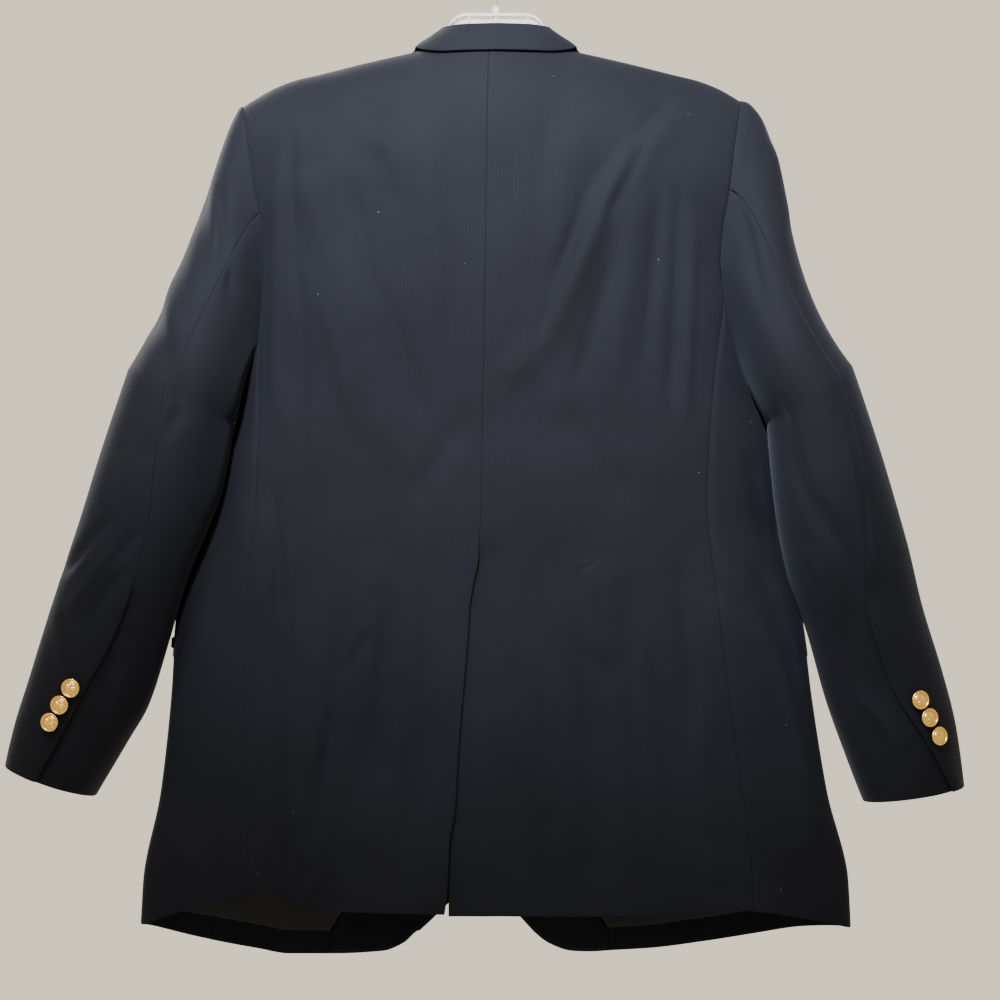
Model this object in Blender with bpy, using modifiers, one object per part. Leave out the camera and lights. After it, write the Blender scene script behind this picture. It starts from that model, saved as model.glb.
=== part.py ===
"""A single-breasted navy blazer with gold shank buttons, hung on a clear plastic hanger.

Frame: metres, +Z up, the fronts face -Y, the wearer's left is +X.  The origin is the point
inside the hook that rests on a rod.  Tables are in millimetres: "drop" is the distance below
that point, and "left" and "right" are the wearer's sides, each measured out from the middle.
"""
import math
from collections import namedtuple

import bmesh
import bpy
from mathutils import Vector

MM = 0.001

# Driving dimensions, in millimetres.
WALL = 2.0                # outer cloth with its interlining
LINING_WALL = 1.0
FACING_WALL = 1.2
SEAM_GAP = 0.3
ROUNDNESS = 2.7           # 2 is an ellipse, more is squarer
SHOULDER_ROLL = 105.0     # how far below the shoulder the body reaches its full depth
NECK_X = 58.0             # where the shoulder seam meets the neck
BUTTON_DROPS = (548.0, 656.0)
FRONT_BUTTON = 20.0       # diameters
SLEEVE_BUTTON = 16.4
CENTRE_FRONT = 12.0
VENT_TOP = 561.0
VENT_LIFT = 1.6           # how far a lapped edge stands off the middle surface
FRONT_LIFT = 2.3
LAPEL_WALL = 2.6
COLLAR_WALL = 1.6
COLLAR_BEND = 3.2           # half the width of the fold along the collar's top
LAPEL_TIP = (134.0, 242.0)
GORGE_ROLL = (53.0, 178.0)
NOTCH = (101.0, 214.6)
CUFF_LIFT = 2.1
CUFF_LAP_TURN = 11.0
CUFF_VENT = {"left": 606.0, "right": 634.0}   # as the drop of the section's outer end
FLAP_TOP = 596.0
FLAP_DEPTH = 55.0
BOSS_TOP = 70.0
BOSS_RADIUS = 3.0
HOOK_RADIUS = 19.0
HOOK_WIRE = 1.3

Section = namedtuple("Section", "drop left right back front")
SECTIONS = (
    Section(100, 234, 234, 60, 58),
    Section(160, 238, 238, 66, 66),
    Section(240, 238, 238, 71, 76),
    Section(330, 231, 230, 70, 80),
    Section(410, 223, 230.3, 65, 78),
    Section(440, 228, 237.8, 62, 75),
    Section(470, 235, 242.5, 60, 72),
    Section(502, 243, 245, 57, 69),
    Section(530, 253, 246, 55, 66),
    Section(556, 263, 252, 53, 64),
    Section(600, 278.5, 267, 50, 60),
    Section(680, 286, 278, 46, 56),
    Section(760, 295, 291, 43, 52),
    Section(840, 310.5, 310, 41, 48),
    Section(920, 314, 313, 40, 46),
)

# The top outline of the shoulders, from the middle of the neck to the sleeve.
Ridge = namedtuple("Ridge", "x drop")
RIDGE = (
    Ridge(0, 82), Ridge(35, 94), Ridge(58, 106.5), Ridge(74, 111.5), Ridge(90, 115), Ridge(120, 122),
    Ridge(156, 131), Ridge(175, 135.5), Ridge(194, 142.5), Ridge(212, 152.5), Ridge(222, 159),
)

# The outer edge of each back panel: the armhole down to its joint, then the side-back seam.
SeamX = namedtuple("SeamX", "drop left right")
BACK_OUTER = (
    SeamX(159, 222, 214), SeamX(190, 216, 208), SeamX(240, 208, 201), SeamX(272, 201, 195.5),
    SeamX(303, 200.5, 193.5), SeamX(330, 202, 197), SeamX(373, 206, 192), SeamX(410, 207, 188),
    SeamX(457, 207.5, 184.5), SeamX(502, 208.5, 183), SeamX(541, 212.5, 185.5),
    SeamX(575, 216.5, 190), SeamX(640, 219.5, 198.5), SeamX(700, 219, 206.5),
    SeamX(760, 217, 215), SeamX(840, 214.5, 223.5), SeamX(900, 214, 225),
)
# The outer edge of each front: the armhole, then the side-front seam.
FRONT_OUTER = (
    SeamX(159, 222, 214), SeamX(190, 207, 202), SeamX(240, 190, 187), SeamX(300, 184, 182),
    SeamX(350, 190, 187), SeamX(385, 198, 195), SeamX(440, 199, 200), SeamX(540, 212, 205),
    SeamX(640, 235, 230), SeamX(760, 245, 242), SeamX(900, 255, 253),
)
BACK_JOINT = {"left": 366.0, "right": 330.0}
FRONT_JOINT = 366.0
ARMPIT = 412.0

# The middle back seam above the vent, and the two vent edges below it, all towards the left.
CENTRE_BACK = (
    SeamX(84, 5.2, 5.2), SeamX(150, 7, 7), SeamX(290, 8.6, 8.6), SeamX(430, 11.2, 11.2),
    SeamX(505, 12.6, 12.6), SeamX(552, 14.6, 14.6), SeamX(561, 15.4, 15.4),
)
VENT_EDGE = (
    SeamX(561, 15.4, 15.4), SeamX(564, 16.2, 44), SeamX(572, 18.2, 47), SeamX(599, 22.6, 46),
    SeamX(625, 24.2, 45), SeamX(716, 32, 41), SeamX(775, 35.4, 37.5), SeamX(800, 39.8, 39.2),
    SeamX(848, 42.4, 41), SeamX(871, 46, 41.2),
)

# The front edges: the roll line down to the top button, then down to the rounded corner.
FRONT_EDGE = (
    SeamX(90, 58, -58), SeamX(106.5, 58, -58), SeamX(178, 53, -52), SeamX(360, 30, -20),
    SeamX(520, 0, 20), SeamX(560, -8, 32), SeamX(640, -8, 32), SeamX(700, -6, 31),
    SeamX(760, 0, 26), SeamX(810, 11, 17), SeamX(850, 29, 2), SeamX(878, 55, -22),
    SeamX(890, 68, -33),
)

Hem = namedtuple("Hem", "x left right")
BACK_HEM = (
    Hem(-50, 865, 865), Hem(100, 863, 866), Hem(150, 861, 866), Hem(180, 851, 863),
    Hem(205, 846, 861), Hem(230, 852, 863), Hem(272, 863, 870), Hem(315, 878, 881),
)
FRONT_HEM = (
    Hem(33, 890, 890), Hem(48, 890, 901.5), Hem(68, 890, 908), Hem(83, 901.5, 908.5),
    Hem(101, 908.5, 907.5), Hem(140, 910.5, 905), Hem(185, 910, 899), Hem(212, 905, 894.5),
    Hem(237, 900, 890), Hem(271, 892, 884), Hem(315, 878, 881),
)

# The largest folds: where each starts and ends, its half width and how far it stands out.
Fold = namedtuple("Fold", "face x1 drop1 x2 drop2 width height")
FOLDS = (
    Fold("back", -160, 170, -100, 235, 13, -3.0),
    Fold("back", -100, 235, -55, 345, 15, -5.0),
    Fold("back", -55, 345, -12, 402, 13, -3.0),
    Fold("back", -124, 228, -101, 402, 12, -3.0),
    Fold("back", -80, 160, -40, 300, 22, 2.5),
    Fold("back", 143, 155, 96, 205, 12, -2.5),
    Fold("back", 165, 228, 138, 310, 12, -2.8),
    Fold("back", 138, 310, 94, 457, 15, -3.6),
    Fold("back", 185, 215, 186, 440, 8, -1.8),
    Fold("back", 178, 250, 180, 400, 7, 1.6),
    Fold("back", 205, 545, 195, 850, 20, -6.0),
    Fold("back", 105, 560, 122, 655, 14, -3.0),
    Fold("back", 122, 655, 143, 765, 15, -3.4),
    Fold("back", 101, 745, 110, 810, 12, -2.4),
    Fold("back", 160, 600, 162, 850, 22, 3.6),
    Fold("back", -97, 562, -100, 640, 13, -2.6),
    Fold("back", -100, 640, -116, 835, 16, -3.4),
    Fold("back", -200, 590, -237, 670, 13, -4.0),
    Fold("back", -237, 670, -286, 800, 14, -4.5),
    Fold("back", -200, 555, -265, 742, 12, 3.6),
    Fold("front", 150, 300, 95, 470, 16, -3.6),
    Fold("front", -150, 290, -100, 480, 16, -3.2),
    Fold("front", 175, 600, 165, 860, 20, -5.0),
    Fold("front", -180, 620, -168, 850, 22, -4.5),
    Fold("front", 110, 690, 118, 880, 18, 3.0),
    Fold("front", -95, 700, -108, 880, 18, 2.8),
)

# Sleeve sections: the outer and inner edges as seen from behind, the half depth front to
# back, how far the middle swings forward, and where the hindarm seam lies round the tube.
Cut = namedtuple("Cut", "out_x out_drop in_x in_drop depth forward seam")
SLEEVE_CUTS = {
    "left": (
        Cut(319, 392, 227, 438, 66, -33, 80), Cut(345, 469, 239, 500, 64, -32, 92),
        Cut(369, 544, 268.5, 573, 60, -28, 107), Cut(390, 601, 287, 632, 57, -12, 103),
        Cut(410, 660, 306, 686, 53, 2, 91), Cut(424, 700, 326, 719, 50, 9, 88),
        Cut(434, 739, 354, 766, 47, 15, 80),
    ),
    "right": (
        Cut(308, 389, 235, 438, 66, -38, 54), Cut(335, 468, 241, 502, 64, -37, 59),
        Cut(355.5, 537, 253, 568, 60, -31, 77), Cut(372, 594, 272.5, 622, 57, -12, 92),
        Cut(391.5, 652, 290, 680, 53, 2, 89), Cut(405.5, 704, 309, 731, 50, 9, 72),
        Cut(414, 757, 325, 771, 47, 15, 50),
    ),
}
FOREARM_TURN = -62.0

# The cuff buttons: the drop of the section's outer end, and the turn round the sleeve.
CuffButton = namedtuple("CuffButton", "out_drop turn")
CUFF_BUTTONS = {
    "left": (CuffButton(655.8, 80.2), CuffButton(672.8, 76.2), CuffButton(689.8, 73.8)),
    "right": (CuffButton(669, 68.2), CuffButton(685.5, 64.2), CuffButton(703.5, 59)),
}

# The collar from the middle back (0) over the shoulder (0.5) to its front end (1): the fold,
# the seam under the stand, and the outer edge, which lies on the cloth.
Collar = namedtuple("Collar", "t fold_x fold_y fold_drop seam_x seam_y seam_drop edge_x edge_drop")
COLLAR = (
    Collar(0, 0, 28, 90, 0, 35, 105.7, 0, 117),
    Collar(0.2, 27, 23.5, 90, 32, 26.5, 105.7, 40, 117),
    Collar(0.4, 44.5, 11, 90.6, 51, 10, 105.7, 63, 114),
    Collar(0.5, 49.5, -3, 94.8, 55, -2, 106.5, 70.5, 112),
    Collar(0.6, 51, -18, 101.5, 54.8, -15, 112, 81, 122),
    Collar(0.7, 51.3, -39, 112, 54, -30, 120.5, 93, 140),
    Collar(0.85, 51.3, -60.5, 141.5, 51.8, -51, 145, 108, 165),
    Collar(1, 51, -73, 175, 50, -66, 175, 121, 190),
)

# The top line of the hanger inside the neck; further out it follows the shoulders.
HANGER_TOP = (
    Ridge(0, 77), Ridge(28, 77), Ridge(37, 81), Ridge(42.5, 89), Ridge(46.5, 99),
    Ridge(51, 107.6), Ridge(58, 110.4),
)
HANGER_END = 205.0

SIDES = {"left": 1.0, "right": -1.0}


def read(table, key, value, column):
    """Read a column at a value of the key column, as a smooth curve without overshoot."""
    keys = [getattr(row, key) for row in table]
    values = [getattr(row, column) for row in table]
    if value <= keys[0]:
        return values[0]
    if value >= keys[-1]:
        return values[-1]
    last = len(keys) - 1
    i = max(k for k in range(last) if keys[k] <= value)

    def slope(k):
        if k in (0, last):
            return 0.0
        before = (values[k] - values[k - 1]) / (keys[k] - keys[k - 1])
        after = (values[k + 1] - values[k]) / (keys[k + 1] - keys[k])
        return 0.0 if before * after <= 0 else 2 * before * after / (before + after)

    span = keys[i + 1] - keys[i]
    t = (value - keys[i]) / span
    rise = values[i + 1] - values[i]
    start, end = slope(i) * span, slope(i + 1) * span
    if i == 0:
        start = 1.5 * rise - 0.5 * end
    if i + 1 == last:
        end = 1.5 * rise - 0.5 * start
    return (values[i] + start * t + (3 * rise - 2 * start - end) * t * t
            + (start + end - 2 * rise) * t ** 3)


def mix(a, b, t):
    return a + (b - a) * t


def ease(t):
    t = min(max(t, 0.0), 1.0)
    return t * t * (3 - 2 * t)


def fold_height(face, x, drop):
    """How far the folds raise the cloth at a place seen straight on."""
    total = 0.0
    for fold in FOLDS:
        if fold.face != face:
            continue
        run_x, run_drop = fold.x2 - fold.x1, fold.drop2 - fold.drop1
        length = math.hypot(run_x, run_drop)
        along = ((x - fold.x1) * run_x + (drop - fold.drop1) * run_drop) / length ** 2
        across = ((x - fold.x1) * run_drop - (drop - fold.drop1) * run_x) / length
        if abs(across) > 3 * fold.width:
            continue
        taper = ease((along + 0.18) / 0.36) * ease((1.18 - along) / 0.36)
        total += fold.height * taper * math.exp(-(across / fold.width) ** 2)
    return total


def ridge_drop(x):
    return read(RIDGE, "x", abs(x), "drop")


def turn_at(side, face, x, drop):
    """The turn round the body, 0 at the middle back, 90 at the side, 180 at the middle front."""
    ratio = min(abs(x) / read(SECTIONS, "drop", drop, side), 1.0)
    turn = math.degrees(math.asin(ratio ** (ROUNDNESS / 2)))
    return turn if face == "back" else 180 - turn


def body_middle(side, turn, drop):
    """A point of the plain body in millimetres, before folds; a turn below 0 crosses over."""
    sine, cosine = math.sin(math.radians(turn)), math.cos(math.radians(turn))
    face = "back" if cosine >= 0 else "front"
    power = 2 / ROUNDNESS
    x = SIDES[side] * read(SECTIONS, "drop", drop, side) * math.copysign(abs(sine) ** power, sine)
    depth = read(SECTIONS, "drop", drop, face)
    y = math.copysign(depth * abs(cosine) ** power, cosine)
    fall = min(max(drop - ridge_drop(x), 0.0) / SHOULDER_ROLL, 1.0)
    y *= math.sqrt(1 - (1 - fall) ** 2)
    steady = min(abs(cosine) * 2.2, 1.0) * ease(fall * 3)
    y += math.copysign(fold_height(face, x, drop) * steady, cosine)
    return Vector((x, y, -drop))


def body_point(side, turn, drop, out=0.0):
    """A body point moved out by so many millimetres along the cloth's own normal."""
    point = body_middle(side, turn, drop)
    if out == 0.0:
        return point
    step_turn, step_drop = 0.5, 1.0
    near_top = drop - ridge_drop(point.x) < 2.0
    across = body_middle(side, turn + step_turn, drop) - body_middle(side, turn - step_turn, drop)
    lower = body_middle(side, turn, drop + step_drop)
    down = lower - (point if near_top else body_middle(side, turn, drop - step_drop))
    normal = across.cross(down).normalized()
    if normal.dot(Vector((point.x * 0.2, point.y, 60.0 if near_top else 0.0))) < 0:
        normal = -normal
    return point + normal * out


def face_point(side, face, x, drop, out=0.0):
    """A body point found by where it is seen, with x counted towards the left."""
    on_side = x * SIDES[side] >= 0
    owner = side if on_side else ("right" if side == "left" else "left")
    turn = turn_at(owner, face, x, drop)
    return body_point(owner, turn, drop, out)


def make_material(name, colour, roughness, metallic=0.0, alpha=1.0):
    material = bpy.data.materials.new(name)
    material.use_nodes = True
    shader = material.node_tree.nodes["Principled BSDF"]
    shader.inputs["Base Color"].default_value = (*colour, 1.0)
    shader.inputs["Roughness"].default_value = roughness
    shader.inputs["Metallic"].default_value = metallic
    shader.inputs["Alpha"].default_value = alpha
    material.diffuse_color = (*colour, alpha)
    return material


def add_object(collection, name, mesh, material):
    thing = bpy.data.objects.new(name, mesh)
    mesh.materials.append(material)
    collection.objects.link(thing)
    return thing


def shell_object(collection, name, rows, material, wall, inside):
    """Cloth through a grid of points in millimetres, thickened towards what it surrounds."""
    mesh = bpy.data.meshes.new(name)
    build = bmesh.new()
    grid = [[build.verts.new(point * MM) for point in row] for row in rows]
    facing = 0.0
    for i in range(len(grid) - 1):
        for j in range(len(grid[i]) - 1):
            corners = (grid[i][j], grid[i][j + 1], grid[i + 1][j + 1], grid[i + 1][j])
            face = build.faces.new(corners)
            face.smooth = True
            face.normal_update()
            middle = face.calc_center_median()
            facing += face.normal.dot(middle - inside(middle / MM) * MM) * face.calc_area()
    if facing < 0:
        bmesh.ops.reverse_faces(build, faces=build.faces)
    build.to_mesh(mesh)
    build.free()
    thing = add_object(collection, name, mesh, material)
    thick = thing.modifiers.new("cloth thickness", "SOLIDIFY")
    thick.thickness = wall * MM
    thick.offset = -1.0
    thick.use_even_offset = True
    thick.use_quality_normals = True
    return thing


def body_axis(point):
    return Vector((0.0, 0.0, point.z))


# Rows of a panel, as parts of the way from its hem to its widest level and on to its top.
LOWER_DROPS = (865, 830, 792, 752, 712, 672, 636, 604, 574, 562.5, 559, 534, 500, 465, 428, 387, 345)
LOWER_PARTS = tuple((LOWER_DROPS[0] - drop) / (LOWER_DROPS[0] - LOWER_DROPS[-1]) for drop in LOWER_DROPS)
LOWER_ROWS = len(LOWER_PARTS) - 1
UPPER_PARTS = (0.84, 0.66, 0.47, 0.32, 0.2, 0.11, 0.05, 0.016, 0.004, 0.0004, 0.0)
HINDARM_ROW = LOWER_ROWS + 3
FOREARM_ROW = LOWER_ROWS + 1
NECK_COLUMNS = (0.0, 0.06, 0.36, 0.7)
SHOULDER_COLUMNS = (0.0, 0.17, 0.35, 0.53, 0.7, 0.84, 0.94, 0.985, 1.0)
FRONT_COLUMNS = (0.0, 0.09, 0.2, 0.31, 0.43, 0.56, 0.7, 0.83, 0.93, 0.985, 1.0)
SIDE_COLUMNS = (0.0, 0.03, 0.2, 0.4, 0.6, 0.8, 0.97, 1.0)
FACING_COLUMNS = {"left": 4, "right": 3}
FACING_ROWS = 9
LINING_ROWS = 12
LINING_COLUMNS = 3


def row_drops(hem, middle, top):
    lower = [mix(hem, middle, part) for part in LOWER_PARTS]
    return lower + [top + part * (middle - top) for part in UPPER_PARTS]


def vent_edge_x(side, drop):
    gap = SEAM_GAP / 2 if side == "left" else -SEAM_GAP / 2
    if drop <= VENT_TOP:
        return read(CENTRE_BACK, "drop", drop, side) + gap
    return read(VENT_EDGE, "drop", drop, side) + gap


def vent_lift(side, x, drop):
    """The left back laps over the right: how far each one's edge leaves the middle surface."""
    start = ease((drop - VENT_TOP + 26) / 22)
    edge = read(VENT_EDGE, "drop", max(drop, VENT_TOP), "left")
    if side == "left":
        return VENT_LIFT * start * ease(1 - (x - edge) / 45)
    return -VENT_LIFT * start * ease((x - edge + 36) / 28)


def outer_x(table, side, drop, shift):
    return SIDES[side] * (read(table, "drop", drop, side) + shift)


def back_grid(side):
    columns = []
    inmost = vent_edge_x(side, 100)
    outmost = outer_x(BACK_OUTER, side, 100, -SEAM_GAP / 2)
    neck = (SIDES[side] * NECK_X - inmost) / (outmost - inmost)
    parts = [neck * part for part in NECK_COLUMNS]
    parts += [mix(neck, 1.0, part) for part in SHOULDER_COLUMNS]
    for part in parts:
        top_x = mix(inmost, outmost, part)
        hem_x = mix(vent_edge_x(side, 870), outer_x(BACK_OUTER, side, 870, -SEAM_GAP / 2), part)
        top = max(ridge_drop(top_x), ridge_drop(NECK_X))
        middle = mix(345.0, BACK_JOINT[side], part)
        hem = read(BACK_HEM, "x", abs(hem_x), side)
        column = []
        for drop in row_drops(hem, middle, top):
            inner = vent_edge_x(side, drop)
            outer = outer_x(BACK_OUTER, side, drop, -SEAM_GAP / 2)
            x = mix(inner, outer, part)
            point = face_point(side, "back", x, drop, vent_lift(side, x, drop))
            if drop == top:
                point.y = max(point.y, SEAM_GAP / 2)
            column.append(point)
        columns.append(column)
    return columns


def front_lap(side, x, drop):
    """The left front laps over the right at the buttons."""
    start = ease((drop - 430) / 70)
    edge = read(FRONT_EDGE, "drop", drop, side)
    inward = (x - edge) * SIDES[side]
    lift = FRONT_LIFT if side == "left" else -FRONT_LIFT
    return lift * start * ease((150 - inward) / 80)


def front_x(side, drop, part):
    inner = read(FRONT_EDGE, "drop", drop, side)
    outer = outer_x(FRONT_OUTER, side, drop, -SEAM_GAP / 2)
    return mix(inner, outer, part)


def front_grid(side, out=0.0):
    grid = []
    for part in FRONT_COLUMNS:
        top = ridge_drop(front_x(side, 100, part))
        middle = mix(420.0, FRONT_JOINT, part)
        hem = read(FRONT_HEM, "x", abs(front_x(side, 890, part)), side)
        column = []
        for drop in row_drops(hem, middle, top):
            x = front_x(side, drop, part)
            point = face_point(side, "front", x, drop, front_lap(side, x, drop) + out)
            if drop == top and out == 0.0:
                point.y = min(point.y, -SEAM_GAP / 2)
            column.append(point)
        grid.append(column)
    return grid


def side_grid(side, out=0.0):
    """The side panel, from the side-back seam round to the side-front seam."""
    columns = []
    for part in SIDE_COLUMNS:
        back_top, front_top = BACK_JOINT[side], FRONT_JOINT
        hollow = 1 - (2 * part - 1) ** 2
        top = mix(mix(back_top, front_top, part), ARMPIT, min(hollow * 1.25, 1.0) ** 0.8)
        column = []
        for rise in LOWER_PARTS:
            edge_back = mix(read(BACK_HEM, "x", outer_hem(side, "back"), side), back_top, rise)
            edge_front = mix(read(FRONT_HEM, "x", outer_hem(side, "front"), side), front_top, rise)
            level = mix(edge_back, edge_front, part)
            turn_back = turn_at(side, "back", outer_x(BACK_OUTER, side, level, SEAM_GAP / 2), level)
            turn_front = turn_at(side, "front", outer_x(FRONT_OUTER, side, level, SEAM_GAP / 2), level)
            turn = mix(turn_back, turn_front, part)
            face = "back" if turn < 90 else "front"
            x = abs(body_middle(side, turn, level).x)
            hem = read(BACK_HEM if face == "back" else FRONT_HEM, "x", x, side)
            drop = mix(hem, top, rise)
            turn_back = turn_at(side, "back", outer_x(BACK_OUTER, side, drop, SEAM_GAP / 2), drop)
            turn_front = turn_at(side, "front", outer_x(FRONT_OUTER, side, drop, SEAM_GAP / 2), drop)
            column.append(body_point(side, mix(turn_back, turn_front, part), drop, out))
        columns.append(column)
    return columns


def outer_hem(side, face):
    if face == "back":
        return abs(outer_x(BACK_OUTER, side, 870, SEAM_GAP / 2))
    return abs(outer_x(FRONT_OUTER, side, 890, SEAM_GAP / 2))


def sleeve_section(side, out_drop):
    """Middle, outward half axis, half depth and downward axis of a sleeve section."""
    cuts = SLEEVE_CUTS[side]
    sign = SIDES[side]
    outer = Vector((sign * read(cuts, "out_drop", out_drop, "out_x"), 0, -out_drop))
    inner_x = sign * read(cuts, "out_drop", out_drop, "in_x")
    inner = Vector((inner_x, 0, -read(cuts, "out_drop", out_drop, "in_drop")))
    middle = (outer + inner) / 2
    middle.y = -read(cuts, "out_drop", out_drop, "forward")
    half = (outer - inner) / 2
    down = Vector((-half.z * sign, 0, half.x * sign)).normalized()
    if down.z > 0:
        down = -down
    return middle, half, read(cuts, "out_drop", out_drop, "depth"), down


def sleeve_point(side, out_drop, turn, out=0.0):
    """A point on the lower sleeve; the turn is 0 outside, 90 behind, 180 towards the body."""
    middle, half, depth, down = sleeve_section(side, out_drop)
    cosine, sine = math.cos(math.radians(turn)), math.sin(math.radians(turn))
    point = middle + half * cosine + Vector((0, depth * sine, 0))
    if out:
        normal = half.normalized() * cosine / half.length + Vector((0, sine / depth, 0))
        point = point + normal.normalized() * out
    return point


def armhole_edges(back, front, flank):
    """The armhole's points on the panels' edges: over the top, and under the arm."""
    behind = back[-1]
    ahead = front[-1]
    over = ahead[FOREARM_ROW:-2] + [behind[-1]] + behind[-3:HINDARM_ROW - 1:-1]
    under = behind[HINDARM_ROW:LOWER_ROWS:-1] + [column[-1] for column in flank[:-1]]
    under += ahead[LOWER_ROWS:FOREARM_ROW + 1]
    return seam_ends(over), seam_ends(under)


def seam_ends(points):
    """Add a point close to each end, so that both walls stand square at the seam."""
    ends = []
    for end, following in ((points[0], points[1]), (points[-1], points[-2])):
        inward = (following - end).normalized()
        ends.append(end + inward * 1.7 * SEAM_GAP)
        ends.append(end.lerp(following, 0.12))
    return ends[:2] + points[1:-1] + [ends[3], ends[2]]


def spread(points, pivot):
    """How far along its own half each point lies, from -1 to 0 at the pivot and on to 1."""
    runs = [0.0]
    for before, after in zip(points, points[1:]):
        runs.append(runs[-1] + (after - before).length)
    middle, whole = runs[pivot], runs[-1]
    return [(run - middle) / (middle if run < middle else whole - middle) for run in runs]


SLEEVE_HEAD = {"left": 0.22, "right": 0.6}     # fullness of the head, as a part of its length
SLEEVE_CAP_ROWS = (0.0, 0.08, 0.25, 0.5, 0.75)
SLEEVE_ROWS = 10


def sleeve_turns(side, out_drop, parts, over):
    """Turns round the tube for the columns of the top sleeve or of the under sleeve."""
    seam = read(SLEEVE_CUTS[side], "out_drop", out_drop, "seam")
    gap = math.degrees(1.3 * SEAM_GAP / 55)
    if over:
        return [-FOREARM_TURN * part + gap * (part < -0.99) if part < 0
                else (seam - gap) * part for part in parts]
    lap = CUFF_LAP_TURN * ease((out_drop - CUFF_VENT[side]) / 16)
    start, end = seam + gap - lap, 360 + FOREARM_TURN - gap
    return [mix(180, start, -part) if part < 0 else mix(180, end, part) for part in parts]


def cuff_lift(side, out_drop, turn, over):
    start = ease((out_drop - CUFF_VENT[side] + 60) / 34)
    seam = read(SLEEVE_CUTS[side], "out_drop", out_drop, "seam")
    if over:
        return CUFF_LIFT * start * ease(1 - (seam - turn) / 34) if turn > 0 else 0.0
    return -CUFF_LIFT * start * ease(1 - (turn - seam) / 30) if turn < 180 else 0.0


def sleeve_grid(side, edge, over):
    sign = SIDES[side]
    if over:
        pivot = max(range(len(edge)), key=lambda k: edge[k].z)
    else:
        pivot = min(range(len(edge)), key=lambda k: edge[k].z)
    parts = spread(edge, pivot)
    cuts = SLEEVE_CUTS[side]
    first, last = cuts[0].out_drop, cuts[-1].out_drop
    turns = sleeve_turns(side, first, parts, over)
    down = sleeve_section(side, first)[3]
    rows = []
    for step in SLEEVE_CAP_ROWS:
        row = []
        for start, turn in zip(edge, turns):
            end = sleeve_point(side, first, turn)
            span = (end - start).length
            round_top = max(math.cos(math.radians(turn)), 0.0)
            full = mix(0.36, SLEEVE_HEAD[side], round_top)
            leave = Vector((sign * mix(0.75, 0.97, round_top), 0.25 * math.sin(math.radians(turn)),
                            -mix(0.66, 0.22, round_top))) * span * full
            flare = Vector((sign * 0.12, 0, 0)) * round_top
            arrive = (down + flare).normalized() * span * 1.35
            a, b = step * step * (3 - 2 * step), step * (1 - step) ** 2
            c = step ** 3 - step ** 2
            row.append(start + (end - start) * a + leave * b + arrive * c
                       + Vector((sign * SEAM_GAP * 1.7, 0, 0)))
        rows.append(row)
    for k in range(SLEEVE_ROWS):
        out_drop = mix(first, last, k / (SLEEVE_ROWS - 1))
        row = []
        for turn in sleeve_turns(side, out_drop, parts, over):
            row.append(sleeve_point(side, out_drop, turn, cuff_lift(side, out_drop, turn, over)))
        rows.append(row)
    return rows


def sleeve_inside(side):
    cuts = SLEEVE_CUTS[side]

    def inside(point):
        return sleeve_section(side, min(max(-point.z - 12, cuts[0].out_drop), cuts[-1].out_drop))[0]
    return inside


def collar_row(side, t):
    """One section of the collar, from the seam under its stand over the fold to its edge."""
    sign = SIDES[side]
    fold = Vector((sign * read(COLLAR, "t", t, "fold_x"), read(COLLAR, "t", t, "fold_y"),
                   -read(COLLAR, "t", t, "fold_drop")))
    seam = Vector((sign * read(COLLAR, "t", t, "seam_x"), read(COLLAR, "t", t, "seam_y"),
                   -read(COLLAR, "t", t, "seam_drop")))
    face = "back" if t < 0.5 else "front"
    lay_out = LAPEL_WALL + (0.9 if t < 0.45 else 1.9)
    edge_drop = read(COLLAR, "t", t, "edge_drop")
    edge = face_point(side, face, sign * read(COLLAR, "t", t, "edge_x"), edge_drop, lay_out)
    stand, fall = (seam - fold).normalized(), (edge - fold).normalized()
    rise, across = -(stand + fall).normalized(), (fall - stand).normalized()
    away = (rise - fall * rise.dot(fall)).normalized()
    inner = fold - across * COLLAR_BEND - rise * 4.0
    outer = fold + across * COLLAR_BEND - rise * 4.0
    skew = ease((t - 0.72) / 0.28)
    notch = face_point(side, "front", sign * NOTCH[0], NOTCH[1] - 0.9, lay_out + 0.2)
    gorge = face_point(side, "front", sign * mix(GORGE_ROLL[0], NOTCH[0], 0.5),
                       mix(GORGE_ROLL[1], NOTCH[1], 0.5) - 0.9, lay_out + 1.6)
    return [
        seam,
        seam.lerp(inner, 0.5),
        inner,
        fold - across * COLLAR_BEND * 0.6 - rise * 0.6,
        fold + across * COLLAR_BEND * 0.6 - rise * 0.6,
        outer,
        (outer.lerp(edge, 0.37) + away * 1.2).lerp(gorge, skew),
        (outer.lerp(edge, 0.72) + away * 1.0).lerp(notch, skew),
        edge,
    ]


COLLAR_STEPS = (0, 0.1, 0.2, 0.3, 0.38, 0.45, 0.5, 0.55, 0.62, 0.7, 0.8, 0.9, 1)


def collar_grid():
    left = [collar_row("left", t) for t in reversed(COLLAR_STEPS)]
    right = [collar_row("right", t) for t in COLLAR_STEPS[1:]]
    return left + right


LAPEL_FOOT = {"left": 528.0, "right": 462.0}
LAPEL_ROWS = 10


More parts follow.
